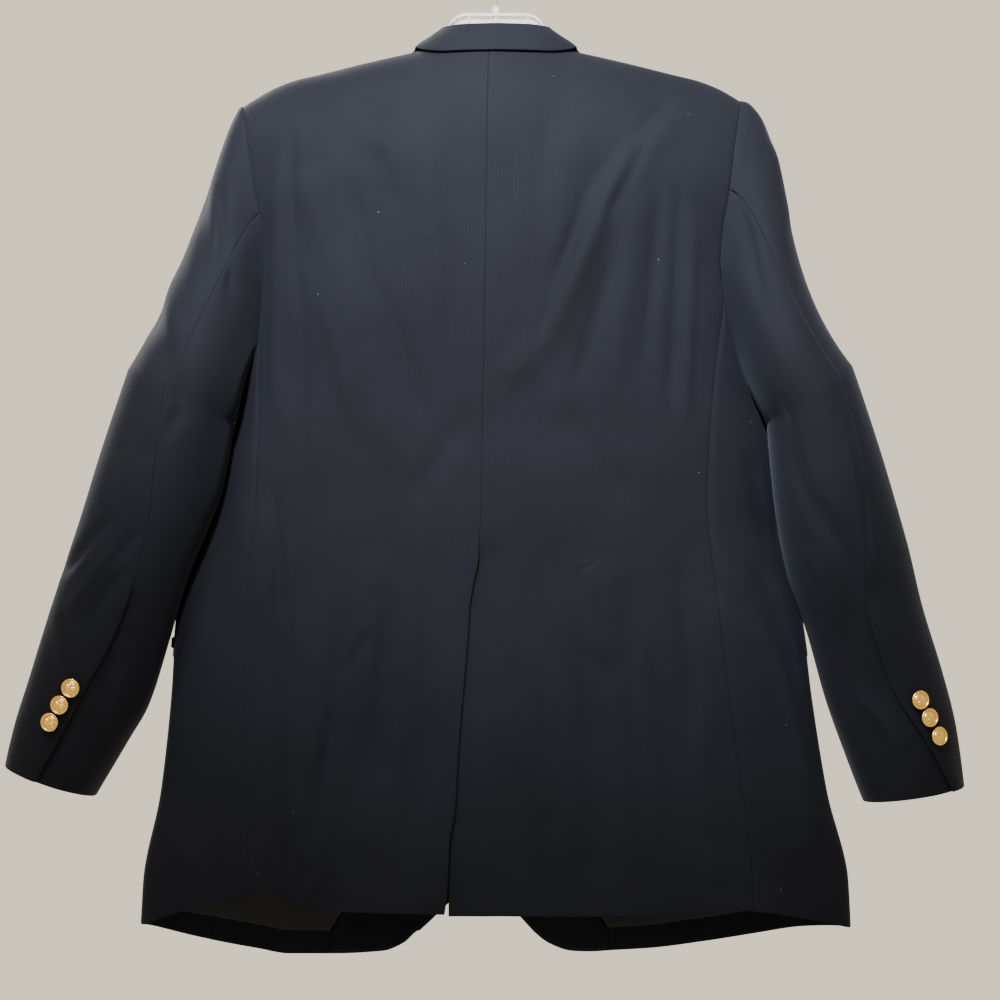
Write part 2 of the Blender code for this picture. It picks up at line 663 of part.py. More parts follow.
def lapel_grid(side):
    """The lapel, from round the roll line to its outer edge, foot to gorge."""
    sign = SIDES[side]
    rows = []
    for k in range(LAPEL_ROWS + 1):
        part = k / LAPEL_ROWS
        roll_drop = mix(LAPEL_FOOT[side], GORGE_ROLL[1], part)
        roll_x = read(FRONT_EDGE, "drop", roll_drop, side)
        foot_x = read(FRONT_EDGE, "drop", LAPEL_FOOT[side], side) + sign * 7
        edge_x = mix(foot_x, sign * LAPEL_TIP[0], part ** 0.8)
        edge_drop = mix(LAPEL_FOOT[side] - 4, LAPEL_TIP[1], part)
        stand = mix(4.2, 6.6, ease(part * 2))
        row = []
        lift = front_lap(side, roll_x, roll_drop)
        for shift, out in ((-3.1, -0.6), (-3.4, stand * 0.55), (-1.4, stand * 0.93)):
            x = roll_x + sign * shift
            row.append(face_point(side, "front", x, roll_drop, out + lift))
        for across in (0.06, 0.22, 0.42, 0.62, 0.82, 1.0):
            x = mix(roll_x, edge_x, across)
            drop = mix(roll_drop, edge_drop, across)
            out = mix(stand, LAPEL_WALL + 1.3, ease(across * 1.4))
            row.append(face_point(side, "front", x, drop, out + front_lap(side, x, drop)))
        rows.append(row)
    return rows


FLAP_ROWS = 4
FLAP_COLUMNS = 16


def flap_grid(side):
    """A pocket flap over the side-front seam, with its rear corner standing off a little."""
    rows = []
    for k in range(FLAP_ROWS + 1):
        low = k / FLAP_ROWS
        row = []
        for j in range(FLAP_COLUMNS + 1):
            back = j / FLAP_COLUMNS
            bottom = FLAP_DEPTH - 9 * max(0.0, abs(2 * back - 1) - 0.72) / 0.28
            drop = FLAP_TOP + mix(0, bottom, low) - 5 * (1 - back)
            turn = mix(131, 96, back)
            stand = mix(0.45, 1.4, low) + 2.2 * ease((back - 0.6) / 0.4) * low
            row.append(body_point(side, turn, drop, WALL + stand))
        rows.append(row)
    return rows


def facing_grid(side):
    """The facing, from the front's own points moved in, hem to top button."""
    columns = front_grid(side, -(WALL + 0.35))[:FACING_COLUMNS[side] + 1]
    columns[-1] = [a.lerp(b, 0.03) for a, b in zip(columns[-1], columns[-2])]
    columns[0] = [a.lerp(b, 0.06) for a, b in zip(columns[0], columns[1])]
    columns = [column[:FACING_ROWS + 1] for column in columns]
    for column in columns:
        column[0] = column[0].lerp(column[1], 0.05)
    return columns


def lining_grid(side):
    """The lining, from the front's and side panel's points moved in, from above the hem."""
    inward = -(WALL + 1.1)
    front = front_grid(side, inward)[FACING_COLUMNS[side]:-1]
    flank = side_grid(side, inward)[:LINING_COLUMNS:-1]
    front[0] = [a.lerp(b, 0.03) for a, b in zip(front[0], front[1])]
    columns = [column[:LINING_ROWS + 1] for column in front[:-1] + flank]
    for column in columns:
        column[0] = column[0].lerp(column[1], 0.6)
    return columns


def button_object(collection, name, diameter, material):
    """A domed blazer button on its shank, with a raised rim."""
    radius = diameter / 2
    profile = [
        (0.0, 0.30), (0.45, 0.26), (0.8, 0.16), (0.86, 0.2), (0.98, 0.14), (1.0, -0.02),
        (0.28, -0.09), (0.25, -0.36), (0.0, -0.36),
    ]
    mesh = bpy.data.meshes.new(name)
    points = [(r * radius * MM, 0, z * radius * MM) for r, z in profile]
    edges = [(k, k + 1) for k in range(len(points) - 1)]
    mesh.from_pydata(points, edges, [])
    thing = add_object(collection, name, mesh, material)
    turn = thing.modifiers.new("turned", "SCREW")
    turn.steps = turn.render_steps = 16
    turn.axis = "Z"
    turn.use_merge_vertices = True
    turn.merge_threshold = 0.00005
    turn.use_smooth_shade = True
    return thing


BUTTON_BASE = 0.36       # from the button's middle to its shank's end, in radii


def seat_button(thing, point, normal, diameter):
    """Stand a button on the cloth, with its shank's end just clear of the surface."""
    height = diameter / 2 * BUTTON_BASE + 1.6 * SEAM_GAP
    thing.location = (point + normal * height) * MM
    thing.rotation_mode = "QUATERNION"
    thing.rotation_quaternion = normal.to_track_quat("Z", "Y")


def hanger_section(x):
    """The I section of the hanger at one place, as points round it."""
    far = abs(x) > HANGER_TOP[-1].x
    rest = WALL + 0.85 + 1.2 * ease((abs(x) - 150) / 40)
    top = ridge_drop(x) + rest if far else read(HANGER_TOP, "x", abs(x), "drop")
    end = ease((HANGER_END - abs(x)) / 22)
    wide = mix(2.0, 5.5, end)
    tall = mix(7.0, 17.0, end)
    flange, web = min(2.6, tall / 3), 1.3
    half = [(wide, 0), (wide, flange), (web, flange + 0.8), (web, tall - flange - 0.8),
            (wide, tall - flange), (wide, tall)]
    around = half + [(-y, low) for y, low in reversed(half)]
    return [Vector((x, y, -(top + low))) for y, low in around]


def hanger_object(collection, material):
    stations = []
    for x in (0, 28, 34, 39, 42.5, 46.5, 51, 58, 74, 90, 120, 150, 175, 192, 202, 205):
        stations += [x] if x == 0 else [x, -x]
    stations.sort()
    build = bmesh.new()
    rings = [[build.verts.new(point * MM) for point in hanger_section(x)] for x in stations]
    for before, after in zip(rings, rings[1:]):
        for k, corner in enumerate(before):
            following = (k + 1) % len(before)
            build.faces.new((corner, before[following], after[following], after[k]))
    build.faces.new(rings[0])
    build.faces.new(list(reversed(rings[-1])))
    bmesh.ops.recalc_face_normals(build, faces=build.faces)
    mesh = bpy.data.meshes.new("hanger")
    build.to_mesh(mesh)
    build.free()
    return add_object(collection, "hanger", mesh, material)


def add_to_hanger(hanger, cutters, name, build):
    """Join a rib or the boss to the hanger with a Boolean union."""
    mesh = bpy.data.meshes.new(name)
    bmesh.ops.recalc_face_normals(build, faces=build.faces)
    build.to_mesh(mesh)
    build.free()
    piece = bpy.data.objects.new(name, mesh)
    cutters.objects.link(piece)
    piece.hide_render = True
    piece.display_type = "WIRE"
    union = hanger.modifiers.new(name, "BOOLEAN")
    union.operation = "UNION"
    union.solver = "EXACT"
    union.object = piece


def hook_object(collection, material):
    """The steel hook: a straight shank that swings out and over in one round bend."""
    path = [Vector((0, 0, -(BOSS_TOP - SEAM_GAP))), Vector((0, 0, -56)), Vector((0, 0, -48))]
    middle_z = HOOK_WIRE - HOOK_RADIUS
    join = math.radians(-58)
    start, start_way = Vector((0, 0, -44)), Vector((0, 0, 14))
    end = Vector((HOOK_RADIUS * math.cos(join), 0, middle_z + HOOK_RADIUS * math.sin(join)))
    end_way = Vector((-math.sin(join), 0, math.cos(join))) * 14
    for k in range(5):
        t = k / 5
        path.append(start * (1 + 2 * t) * (1 - t) ** 2 + start_way * t * (1 - t) ** 2
                    + end * t * t * (3 - 2 * t) + end_way * t * t * (t - 1))
    for k in range(21):
        angle = math.radians(mix(-58, 206, k / 20))
        path.append(Vector((HOOK_RADIUS * math.cos(angle), 0,
                            middle_z + HOOK_RADIUS * math.sin(angle))))
    curve = bpy.data.curves.new("hook", "CURVE")
    curve.dimensions = "3D"
    curve.bevel_depth = HOOK_WIRE * MM
    curve.bevel_resolution = 2
    curve.use_fill_caps = True
    line = curve.splines.new("POLY")
    line.points.add(len(path) - 1)
    for place, point in zip(line.points, path):
        place.co = (*(point * MM), 1)
    return add_object(collection, "hook", curve, material)


def surface_normal(side, x, drop):
    low = face_point(side, "front", x, drop)
    high = face_point(side, "front", x, drop, 1.0)
    return (high - low).normalized()


def build_cloth(collection, wool, lining):
    for side in SIDES:
        back, front, flank = back_grid(side), front_grid(side), side_grid(side)
        shell_object(collection, "back_" + side, back, wool, WALL, body_axis)
        shell_object(collection, "side_panel_" + side, flank, wool, WALL, body_axis)
        shell_object(collection, "front_" + side, front, wool, WALL, body_axis)
        over, under = armhole_edges(back, front, flank)
        inside = sleeve_inside(side)
        shell_object(collection, "sleeve_top_" + side, sleeve_grid(side, over, True), wool, WALL,
                     inside)
        shell_object(collection, "sleeve_under_" + side, sleeve_grid(side, under, False), wool,
                     WALL, inside)
        shell_object(collection, "lapel_" + side, lapel_grid(side), wool, LAPEL_WALL, body_axis)
        shell_object(collection, "flap_" + side, flap_grid(side), wool, WALL, body_axis)
        shell_object(collection, "facing_" + side, facing_grid(side), wool, FACING_WALL, body_axis)
        shell_object(collection, "lining_" + side, lining_grid(side), lining, LINING_WALL,
                     body_axis)
    shell_object(collection, "collar", collar_grid(), wool, COLLAR_WALL, collar_inside)


def collar_inside(point):
    """A place under the collar's fold, between its stand and its fall."""
    side = "left" if point.x >= 0 else "right"
    nearest = min(COLLAR_STEPS, key=lambda t: (collar_row(side, t)[4] - point).length)
    row = collar_row(side, nearest)
    return (row[0] + row[-1]) / 2


def build_buttons(collection, gold):
    for side in SIDES:
        for number, spot in enumerate(CUFF_BUTTONS[side], 1):
            name = "cuff_button_%s_%d" % (side, number)
            button = button_object(collection, name, SLEEVE_BUTTON, gold)
            lift = cuff_lift(side, spot.out_drop, spot.turn, True)
            low = sleeve_point(side, spot.out_drop, spot.turn, lift)
            high = sleeve_point(side, spot.out_drop, spot.turn, lift + 1)
            seat_button(button, low, (high - low).normalized(), SLEEVE_BUTTON)
    for number, drop in enumerate(BUTTON_DROPS, 1):
        button = button_object(collection, "front_button_%d" % number, FRONT_BUTTON, gold)
        lift = front_lap("left", CENTRE_FRONT, drop)
        point = face_point("left", "front", CENTRE_FRONT, drop, lift)
        seat_button(button, point, surface_normal("left", CENTRE_FRONT, drop), FRONT_BUTTON)


def build_hanger(collection, cutters, plastic, steel):
    hanger = hanger_object(collection, plastic)
    boss = bmesh.new()
    bmesh.ops.create_cone(boss, cap_ends=True, segments=16, radius1=BOSS_RADIUS * MM,
                          radius2=BOSS_RADIUS * MM, depth=16 * MM)
    bmesh.ops.translate(boss, verts=boss.verts, vec=(0, 0, -(BOSS_TOP + 8) * MM))
    add_to_hanger(hanger, cutters, "hanger_boss", boss)
    for x in (24, -28):
        rib = bmesh.new()
        bmesh.ops.create_cube(rib, size=1.0)
        bmesh.ops.scale(rib, vec=(1.4 * MM, 9 * MM, 14 * MM), verts=rib.verts)
        bmesh.ops.translate(rib, verts=rib.verts, vec=(x * MM, 0, -85.5 * MM))
        add_to_hanger(hanger, cutters, "hanger_rib", rib)
    hook_object(collection, steel)


def main():
    for thing in list(bpy.data.objects):
        bpy.data.objects.remove(thing, do_unlink=True)
    blazer = bpy.data.collections.new("blazer on a hanger")
    cutters = bpy.data.collections.new("cutters")
    bpy.context.scene.collection.children.link(blazer)
    bpy.context.scene.collection.children.link(cutters)
    wool = make_material("navy wool", (0.012, 0.015, 0.03), 0.85)
    lining = make_material("navy lining", (0.01, 0.012, 0.022), 0.35)
    gold = make_material("gold", (0.83, 0.58, 0.2), 0.28, metallic=1.0)
    plastic = make_material("clear plastic", (0.9, 0.92, 0.92), 0.1, alpha=0.35)
    steel = make_material("steel wire", (0.45, 0.45, 0.46), 0.3, metallic=1.0)
    build_cloth(blazer, wool, lining)
    build_buttons(blazer, gold)
    build_hanger(blazer, cutters, plastic, steel)


main()
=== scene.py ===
"""The look of a navy blazer on its hanger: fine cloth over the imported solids, with its small
creases and sewing, gilt buttons, a clear hanger, and the floor, light and camera.

Tables are in millimetres: "drop" is the distance below the point inside the hook that rests
on a rod, and "left" and "right" are the wearer's sides, each measured out from the middle.
"""
import math
from collections import namedtuple

import bpy
import numpy as np
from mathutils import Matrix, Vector


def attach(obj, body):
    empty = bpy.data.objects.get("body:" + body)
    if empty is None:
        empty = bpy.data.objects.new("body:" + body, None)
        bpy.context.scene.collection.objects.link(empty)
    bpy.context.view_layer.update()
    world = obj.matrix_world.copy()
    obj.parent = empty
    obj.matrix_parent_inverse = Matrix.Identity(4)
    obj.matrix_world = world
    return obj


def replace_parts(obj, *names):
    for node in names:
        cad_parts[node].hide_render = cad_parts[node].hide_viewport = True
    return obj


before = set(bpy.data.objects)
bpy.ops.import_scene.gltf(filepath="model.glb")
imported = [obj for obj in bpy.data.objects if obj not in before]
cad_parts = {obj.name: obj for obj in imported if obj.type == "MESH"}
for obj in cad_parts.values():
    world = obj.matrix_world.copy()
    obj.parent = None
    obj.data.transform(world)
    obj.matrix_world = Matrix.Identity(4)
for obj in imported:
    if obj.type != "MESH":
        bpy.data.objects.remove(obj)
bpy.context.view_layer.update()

MM = 0.001

# Driving dimensions, in millimetres.
WALL = 2.0                # outer cloth with its interlining
LINING_WALL = 1.0
FACING_WALL = 1.2
SEAM_GAP = 0.3
ROUNDNESS = 2.7           # 2 is an ellipse, more is squarer
SHOULDER_ROLL = 105.0     # how far below the shoulder the body reaches its full depth
NECK_X = 58.0             # where the shoulder seam meets the neck
BUTTON_DROPS = (548.0, 656.0)
FRONT_BUTTON = 20.0       # diameters
SLEEVE_BUTTON = 16.4
CENTRE_FRONT = 12.0
VENT_TOP = 561.0
VENT_LIFT = 1.6           # how far a lapped edge stands off the middle surface
FRONT_LIFT = 2.3
LAPEL_WALL = 2.6
COLLAR_WALL = 1.6
COLLAR_BEND = 3.2         # half the width of the fold along the collar's top
LAPEL_TIP = (134.0, 242.0)
GORGE_ROLL = (53.0, 178.0)
NOTCH = (101.0, 214.6)
CUFF_LIFT = 2.1
CUFF_LAP_TURN = 11.0
CUFF_VENT = {"left": 606.0, "right": 634.0}   # as the drop of the section's outer end
FLAP_TOP = 596.0
FLAP_DEPTH = 55.0
BOSS_TOP = 70.0
HOOK_RADIUS = 19.0
HOOK_WIRE = 1.3
SHANK_TOP = -44.0         # where the hook's straight shank ends, as a height


def rows(kind, *values):
    return [kind(*row) for row in values]


Section = namedtuple("Section", "drop left right back front")
SECTIONS = rows(Section,
    (100, 234, 234, 60, 58), (160, 238, 238, 66, 66), (240, 238, 238, 71, 76),
    (330, 231, 230, 70, 80), (410, 224.2, 231.3, 65, 78), (440, 230, 239.5, 62, 75),
    (470, 236.5, 243.5, 60, 72), (502, 244, 246.5, 57, 69), (530, 256, 248, 55, 66),
    (556, 267, 254, 53, 64), (600, 281, 268, 50, 60), (680, 286, 278, 46, 56),
    (760, 295, 291, 43, 52), (840, 310.5, 310, 41, 48), (920, 314, 313, 40, 46),
)

# The top outline of the shoulders, from the middle of the neck to the sleeve.
Ridge = namedtuple("Ridge", "x drop")
RIDGE = rows(Ridge,
    (0, 82), (35, 94), (58, 106.5), (74, 111.5), (90, 115), (120, 122), (156, 131), (175, 135.5),
    (194, 142.5), (212, 152.5), (222, 159),
)

# The outer edge of each back panel: the armhole down to its joint, then the side-back seam.
SeamX = namedtuple("SeamX", "drop left right")
BACK_OUTER = rows(SeamX,
    (159, 222, 214), (190, 216, 208), (240, 208, 201), (272, 201, 195.5), (303, 200.5, 193.5),
    (330, 202, 197), (373, 206, 192), (410, 207, 188), (457, 207.5, 184.5), (502, 208.5, 183),
    (541, 212.5, 185.5), (575, 216.5, 190), (640, 219.5, 198.5), (700, 219, 206.5),
    (760, 217, 215), (840, 214.5, 223.5), (900, 214, 225),
)
# The outer edge of each front: the armhole, then the side-front seam.
FRONT_OUTER = rows(SeamX,
    (159, 222, 214), (190, 207, 202), (240, 190, 187), (300, 184, 182), (350, 190, 187),
    (385, 198, 195), (440, 199, 200), (540, 212, 205), (640, 235, 230), (760, 245, 242),
    (900, 255, 253),
)
OUTER = {"back": BACK_OUTER, "front": FRONT_OUTER}
# The drops where a panel's columns are spaced, at its top and hem, and where the middle of
# its rows meets its inner edge.
TOP_LEVEL = 100.0
HEM_LEVEL = {"back": 870.0, "front": 890.0}
MIDDLE_LEVEL = {"back": 345.0, "front": 420.0}
BACK_JOINT = {"left": 366.0, "right": 330.0}
FRONT_JOINT = 366.0
ARMPIT = 412.0

# The middle back seam above the vent, and the two vent edges below it, all towards the left.
CENTRE_BACK = rows(SeamX,
    (84, 5.2, 5.2), (150, 7, 7), (290, 8.6, 8.6), (430, 11.2, 11.2), (505, 12.6, 12.6),
    (552, 14.6, 14.6), (561, 15.4, 15.4),
)
VENT_EDGE = rows(SeamX,
    (561, 15.4, 15.4), (564, 16.2, 44), (572, 18.2, 47), (599, 22.6, 46), (625, 24.2, 45),
    (716, 32, 41), (775, 35.4, 37.5), (800, 39.8, 39.2), (848, 42.4, 41), (871, 46, 41.2),
)

# The front edges: the roll line down to the top button, then down to the rounded corner.
FRONT_EDGE = rows(SeamX,
    (90, 58, -58), (106.5, 58, -58), (178, 53, -52), (360, 30, -20), (520, 0, 20), (560, -8, 32),
    (640, -8, 32), (700, -6, 31), (760, 0, 26), (810, 11, 17), (850, 29, 2), (878, 55, -22),
    (890, 68, -33),
)

Hem = namedtuple("Hem", "x left right")
BACK_HEM = rows(Hem,
    (-50, 865, 865), (100, 863, 866), (150, 861, 866), (180, 851, 863), (205, 846, 861),
    (230, 852, 863), (272, 863, 870), (315, 878, 881),
)
FRONT_HEM = rows(Hem,
    (33, 890, 890), (48, 890, 901.5), (68, 890, 908), (83, 901.5, 908.5), (101, 908.5, 907.5),
    (140, 910.5, 905), (185, 910, 899), (212, 905, 894.5), (237, 900, 890), (271, 892, 884),
    (315, 878, 881),
)

# The largest folds: where each starts and ends, its half width and how far it stands out.
Fold = namedtuple("Fold", "x1 drop1 x2 drop2 width height")
FOLDS = {
    "back": rows(Fold,
        (-160, 170, -100, 235, 13, -3.0), (-100, 235, -55, 345, 15, -5.0),
        (-55, 345, -12, 402, 13, -3.0), (-124, 228, -101, 402, 12, -3.0),
        (-80, 160, -40, 300, 22, 2.5), (143, 155, 96, 205, 12, -2.5),
        (165, 228, 138, 310, 12, -2.8), (138, 310, 94, 457, 15, -3.6),
        (185, 215, 186, 440, 8, -1.8), (178, 250, 180, 400, 7, 1.6),
        (205, 545, 195, 850, 20, -6.0), (105, 560, 122, 655, 14, -3.0),
        (122, 655, 143, 765, 15, -3.4), (101, 745, 110, 810, 12, -2.4),
        (160, 600, 162, 850, 22, 3.6), (-97, 562, -100, 640, 13, -2.6),
        (-100, 640, -116, 835, 16, -3.4), (-200, 590, -237, 670, 13, -4.0),
        (-237, 670, -286, 800, 14, -4.5), (-200, 555, -265, 742, 12, 3.6),
    ),
    "front": rows(Fold,
        (150, 300, 95, 470, 16, -3.6), (-150, 290, -100, 480, 16, -3.2),
        (175, 600, 165, 860, 20, -5.0), (-180, 620, -168, 850, 22, -4.5),
        (110, 690, 118, 880, 18, 3.0), (-95, 700, -108, 880, 18, 2.8),
    ),
}

# Sleeve sections: the outer and inner edges as seen from behind, the half depth front to
# back, how far the middle swings forward, and where the hindarm seam lies round the tube.
Cut = namedtuple("Cut", "out_drop out_x in_x in_drop depth forward seam")
SLEEVE_CUTS = {
    "left": rows(Cut,
        (392, 319, 227, 438, 66, -33, 80), (469, 345, 239, 500, 64, -32, 92),
        (544, 369, 268.5, 573, 60, -28, 107), (601, 390, 287, 632, 57, -12, 103),
        (660, 410, 306, 686, 53, 2, 91), (700, 424, 326, 719, 50, 9, 88),
        (739, 434, 354, 766, 47, 15, 80),
    ),
    "right": rows(Cut,
        (389, 308, 235, 438, 66, -38, 54), (468, 335, 241, 502, 64, -37, 59),
        (537, 355.5, 253, 568, 60, -31, 77), (594, 372, 272.5, 622, 57, -12, 92),
        (652, 391.5, 290, 680, 53, 2, 89), (704, 405.5, 309, 731, 50, 9, 72),
        (757, 414, 325, 771, 47, 15, 50),
    ),
}
FOREARM_TURN = -62.0

# The cuff buttons: the drop of the section's outer end, and the turn round the sleeve.
CuffButton = namedtuple("CuffButton", "out_drop turn")
CUFF_BUTTONS = {
    "left": rows(CuffButton, (655.8, 80.2), (672.8, 76.2), (689.8, 73.8)),
    "right": rows(CuffButton, (669, 68.2), (685.5, 64.2), (703.5, 59)),
}

# The collar from the middle back (0) over the shoulder (0.5) to its front end (1): the fold,
# the seam under the stand, and the outer edge, which lies on the cloth.
Collar = namedtuple("Collar", "t fold_x fold_y fold_drop seam_x seam_y seam_drop edge_x edge_drop")
COLLAR = rows(Collar,
    (0, 0, 28, 90, 0, 35, 105.7, 0, 117), (0.2, 27, 23.5, 90, 32, 26.5, 105.7, 40, 117),
    (0.4, 44.5, 11, 90.6, 51, 10, 105.7, 63, 114),
    (0.5, 49.5, -3, 94.8, 55, -2, 106.5, 70.5, 112),
    (0.6, 51, -18, 101.5, 54.8, -15, 112, 81, 122),
    (0.7, 51.3, -39, 112, 54, -30, 120.5, 93, 140),
    (0.85, 51.3, -60.5, 141.5, 51.8, -51, 145, 108, 165),
    (1, 51, -73, 175, 50, -66, 175, 121, 190),
)


SIDES = {"left": 1.0, "right": -1.0}
SLEEVE_HEAD = {"left": 0.22, "right": 0.6}     # fullness of the head, as a part of its length
LAPEL_FOOT = {"left": 528.0, "right": 462.0}
BUTTON_BASE = 0.36       # from the button's middle to its shank's end, in radii
# A button beyond its dome, as distances out from its middle and up, in radii.
BUTTON_PROFILE = [
    (0.83, 0.155), (0.85, 0.19), (0.89, 0.215), (0.94, 0.205), (0.98, 0.15), (1.0, 0.08),
    (1.0, 0.0), (0.97, -0.05), (0.9, -0.075), (0.5, -0.1), (0.3, -0.12), (0.26, -0.2),
    (0.24, -0.34), (0.2, -0.355),
]
CLOTH_GAP = -0.04          # the seams are sewn shut where the finer cloth replaces the solids

# The small creases, on top of the largest folds. Those in front are the fronts' and the
# hidden side of the sleeves'.
CREASES = {
    "back": rows(Fold,
        # Upper back: drag lines that fall from the shoulders towards the middle.
        (-150, 160, -120, 190, 6, -1.9), (-128, 200, -96, 262, 5, -2.6),
        (-110, 215, -60, 330, 7.5, 2.2), (-72, 262, -34, 372, 5, -2.4),
        (-100, 300, -70, 400, 7, -2.1), (-140, 250, -128, 380, 6, -1.9),
        (-158, 240, -150, 420, 5, -1.9), (-170, 280, -164, 430, 4, 1.8),
        (118, 150, 84, 190, 6, -2.1), (100, 205, 88, 250, 6, -2.4), (122, 240, 105, 330, 6, -2.2),
        (96, 330, 62, 430, 7, -2.6), (150, 330, 120, 440, 7.5, 2.2), (60, 200, 48, 330, 12, 2.6),
        (-45, 180, -36, 300, 10, -1.9), (178, 190, 172, 330, 4, -2.1),
        (190, 230, 193, 420, 4, 1.9), (168, 320, 166, 470, 4, -1.9), (30, 440, 70, 500, 12, -1.9),
        (-60, 430, -110, 500, 12, -1.9),
        # Waist and skirt.
        (193, 500, 186, 600, 6, -2.9), (178, 540, 170, 640, 7, 2.4),
        (112, 622, 128, 652, 3.5, -2.4), (104, 600, 112, 700, 7, 2.2),
        (140, 690, 158, 800, 8.5, -2.6), (85, 700, 92, 820, 10, 2.6),
        (60, 600, 58, 760, 10, -1.9), (-60, 600, -68, 800, 12, 2.2), (-80, 560, -86, 640, 6, 1.9),
        (-125, 620, -140, 780, 8.5, 2.2), (-160, 560, -172, 700, 8.5, -2.4),
        (-176, 700, -190, 840, 7.5, 2.1), (-40, 780, -44, 850, 7.5, -2.2),
        (160, 835, 166, 858, 4, 2.6),
        # Side panels.
        (-230, 560, -262, 660, 6, -2.9), (-246, 640, -276, 760, 5, 2.6),
        (-222, 470, -236, 540, 5, -2.6), (232, 520, 246, 620, 6, -2.6),
        (240, 640, 262, 760, 7.5, 2.6), (262, 720, 276, 850, 7, -2.6),
        # Left sleeve.
        (262, 190, 250, 300, 7.5, -2.9), (240, 230, 226, 330, 5, -2.6),
        (286, 260, 276, 360, 7.5, 2.4), (300, 330, 262, 430, 8.5, -3.5),
        (268, 430, 300, 470, 7, -2.9), (330, 520, 372, 566, 5, -3.5),
        (326, 548, 366, 598, 5, 2.6), (318, 566, 352, 612, 5, -2.9),
        (300, 530, 330, 560, 5, -2.6), (380, 600, 366, 660, 7, 2.2),
        (330, 640, 350, 720, 7.5, -2.6), (346, 700, 362, 760, 7, 2.2),
        # Right sleeve.
        (-236, 130, -243, 190, 5, -2.6), (-250, 150, -258, 212, 4, -3.2),
        (-241, 200, -252, 262, 7, 2.2), (-212, 250, -226, 330, 6, -2.6),
        (-268, 505, -320, 586, 8.5, -4.8), (-262, 546, -298, 616, 6, 3.5),
        (-238, 420, -262, 500, 6, -3.2), (-300, 440, -322, 560, 7, 2.6),
        (-296, 600, -330, 680, 7.5, -2.6), (-312, 672, -356, 722, 7, 2.9),
        (-330, 700, -344, 760, 6, -2.2),
    ),
    "front": rows(Fold,
        (95, 470, 40, 540, 10, -3.2), (-95, 470, -30, 545, 10, -3.2),
        (60, 560, 30, 640, 8.5, 2.4), (120, 560, 150, 640, 7.5, -2.4),
        (-120, 560, -150, 640, 7.5, -2.4), (160, 330, 130, 430, 7, -2.6),
        (-165, 320, -135, 440, 7, -2.6), (84, 700, 92, 870, 10, -2.6),
        (-70, 720, -80, 880, 10, -2.6), (250, 230, 240, 320, 7, -2.6),
        (-248, 230, -238, 320, 7, -2.6), (320, 470, 280, 520, 7, -3.5),
        (336, 500, 300, 556, 6, 2.6), (340, 540, 306, 590, 7, -3.2),
        (-308, 460, -268, 516, 7, -3.5), (-322, 500, -284, 550, 6, 2.6),
        (-326, 540, -290, 590, 7, -3.2), (380, 640, 350, 720, 7.5, -2.6),
        (-366, 640, -338, 720, 7.5, -2.6),
    ),
}

# A slight unevenness of pressed cloth: widths, heights and slants of its waves.
Wave = namedtuple("Wave", "width height slant")
WAVES = rows(Wave,
    (31.0, 57.0, 0.008), (19.0, 83.0, -0.011), (13.0, 41.0, 0.017), (47.0, 29.0, 0.005),
    (9.0, 66.0, 0.021),
)
UNEVEN = 0.16
EDGE_MARGIN = 0.9        # how far in from its edge a piece's cloth begins to turn
SLEEVE_SPACING = 4.4     # between the lines of points that run down a sleeve
ROPING = 1.1             # how far the sleeve head stands over its seam

# The lining's wrinkles: across its width and up it as parts, then their lie and size.
Wrinkle = namedtuple("Wrinkle", "place height tilt width reach depth")
WRINKLES = rows(Wrinkle,
    (0.12, 0.06, 0.3, 0.020, 0.10, 2.6), (0.30, 0.10, -0.5, 0.022, 0.12, 3.0),
    (0.45, 0.05, 0.6, 0.018, 0.10, 2.6), (0.60, 0.12, -0.3, 0.024, 0.14, 3.2),
    (0.76, 0.07, 0.5, 0.018, 0.10, 2.4), (0.20, 0.20, 0.8, 0.026, 0.16, 2.6),
    (0.52, 0.24, -0.7, 0.026, 0.16, 2.6), (0.84, 0.18, 0.4, 0.022, 0.12, 2.4),
    (0.36, 0.34, 0.5, 0.030, 0.20, 2.4), (0.68, 0.38, -0.5, 0.030, 0.20, 2.4),
)


CURVES = {}


def curve_pieces(table, column):
    """Keys, values, and each span's slopes at its start and end, for read."""
    keys = np.array([row[0] for row in table], float)
    values = np.array([getattr(row, column) for row in table], float)
    span, rise = np.diff(keys), np.diff(values)
    before, after = (rise / span)[:-1], (rise / span)[1:]
    same = before * after > 0
    slopes = np.zeros(len(keys))
    slopes[1:-1][same] = 2 * before[same] * after[same] / (before[same] + after[same])
    starts, ends = slopes[:-1] * span, slopes[1:] * span
    starts[0] = 1.5 * rise[0] - 0.5 * ends[0]
    ends[-1] = 1.5 * rise[-1] - 0.5 * starts[-1]
    return keys, values, starts, ends


def mix(a, b, t):
    return a + (b - a) * t


def ease(t):
    t = np.clip(t, 0.0, 1.0)
    return t * t * (3 - 2 * t)


def curve(start, end, leave, arrive, t):
    """A smooth curve from one point to another, with the ways it leaves and arrives."""
    return mix(start, end, ease(t)) + leave * t * (1 - t) ** 2 + arrive * t * t * (t - 1)


def read(table, value, column):
    """Read a column at values of the first column, as a smooth curve without overshoot."""
    name = (id(table), column)
    if name not in CURVES:
        CURVES[name] = curve_pieces(table, column)
    keys, values, starts, ends = CURVES[name]
    value = np.clip(value, keys[0], keys[-1])
    i = np.clip(np.searchsorted(keys, value, side="right") - 1, 0, len(keys) - 2)
    t = (value - keys[i]) / (keys[i + 1] - keys[i])
    return curve(values[i], values[i + 1], starts[i], ends[i], t)


def norm(v):
    return np.linalg.norm(v, axis=-1)


def unit(v):
    return v / np.maximum(norm(v), 1e-9)[..., None]


def runs_along(points, axis=0):
    """How far each point lies from the start of its line of points, along the line."""
    return np.insert(norm(np.diff(points, axis=axis)).cumsum(axis), 0, 0.0, axis)


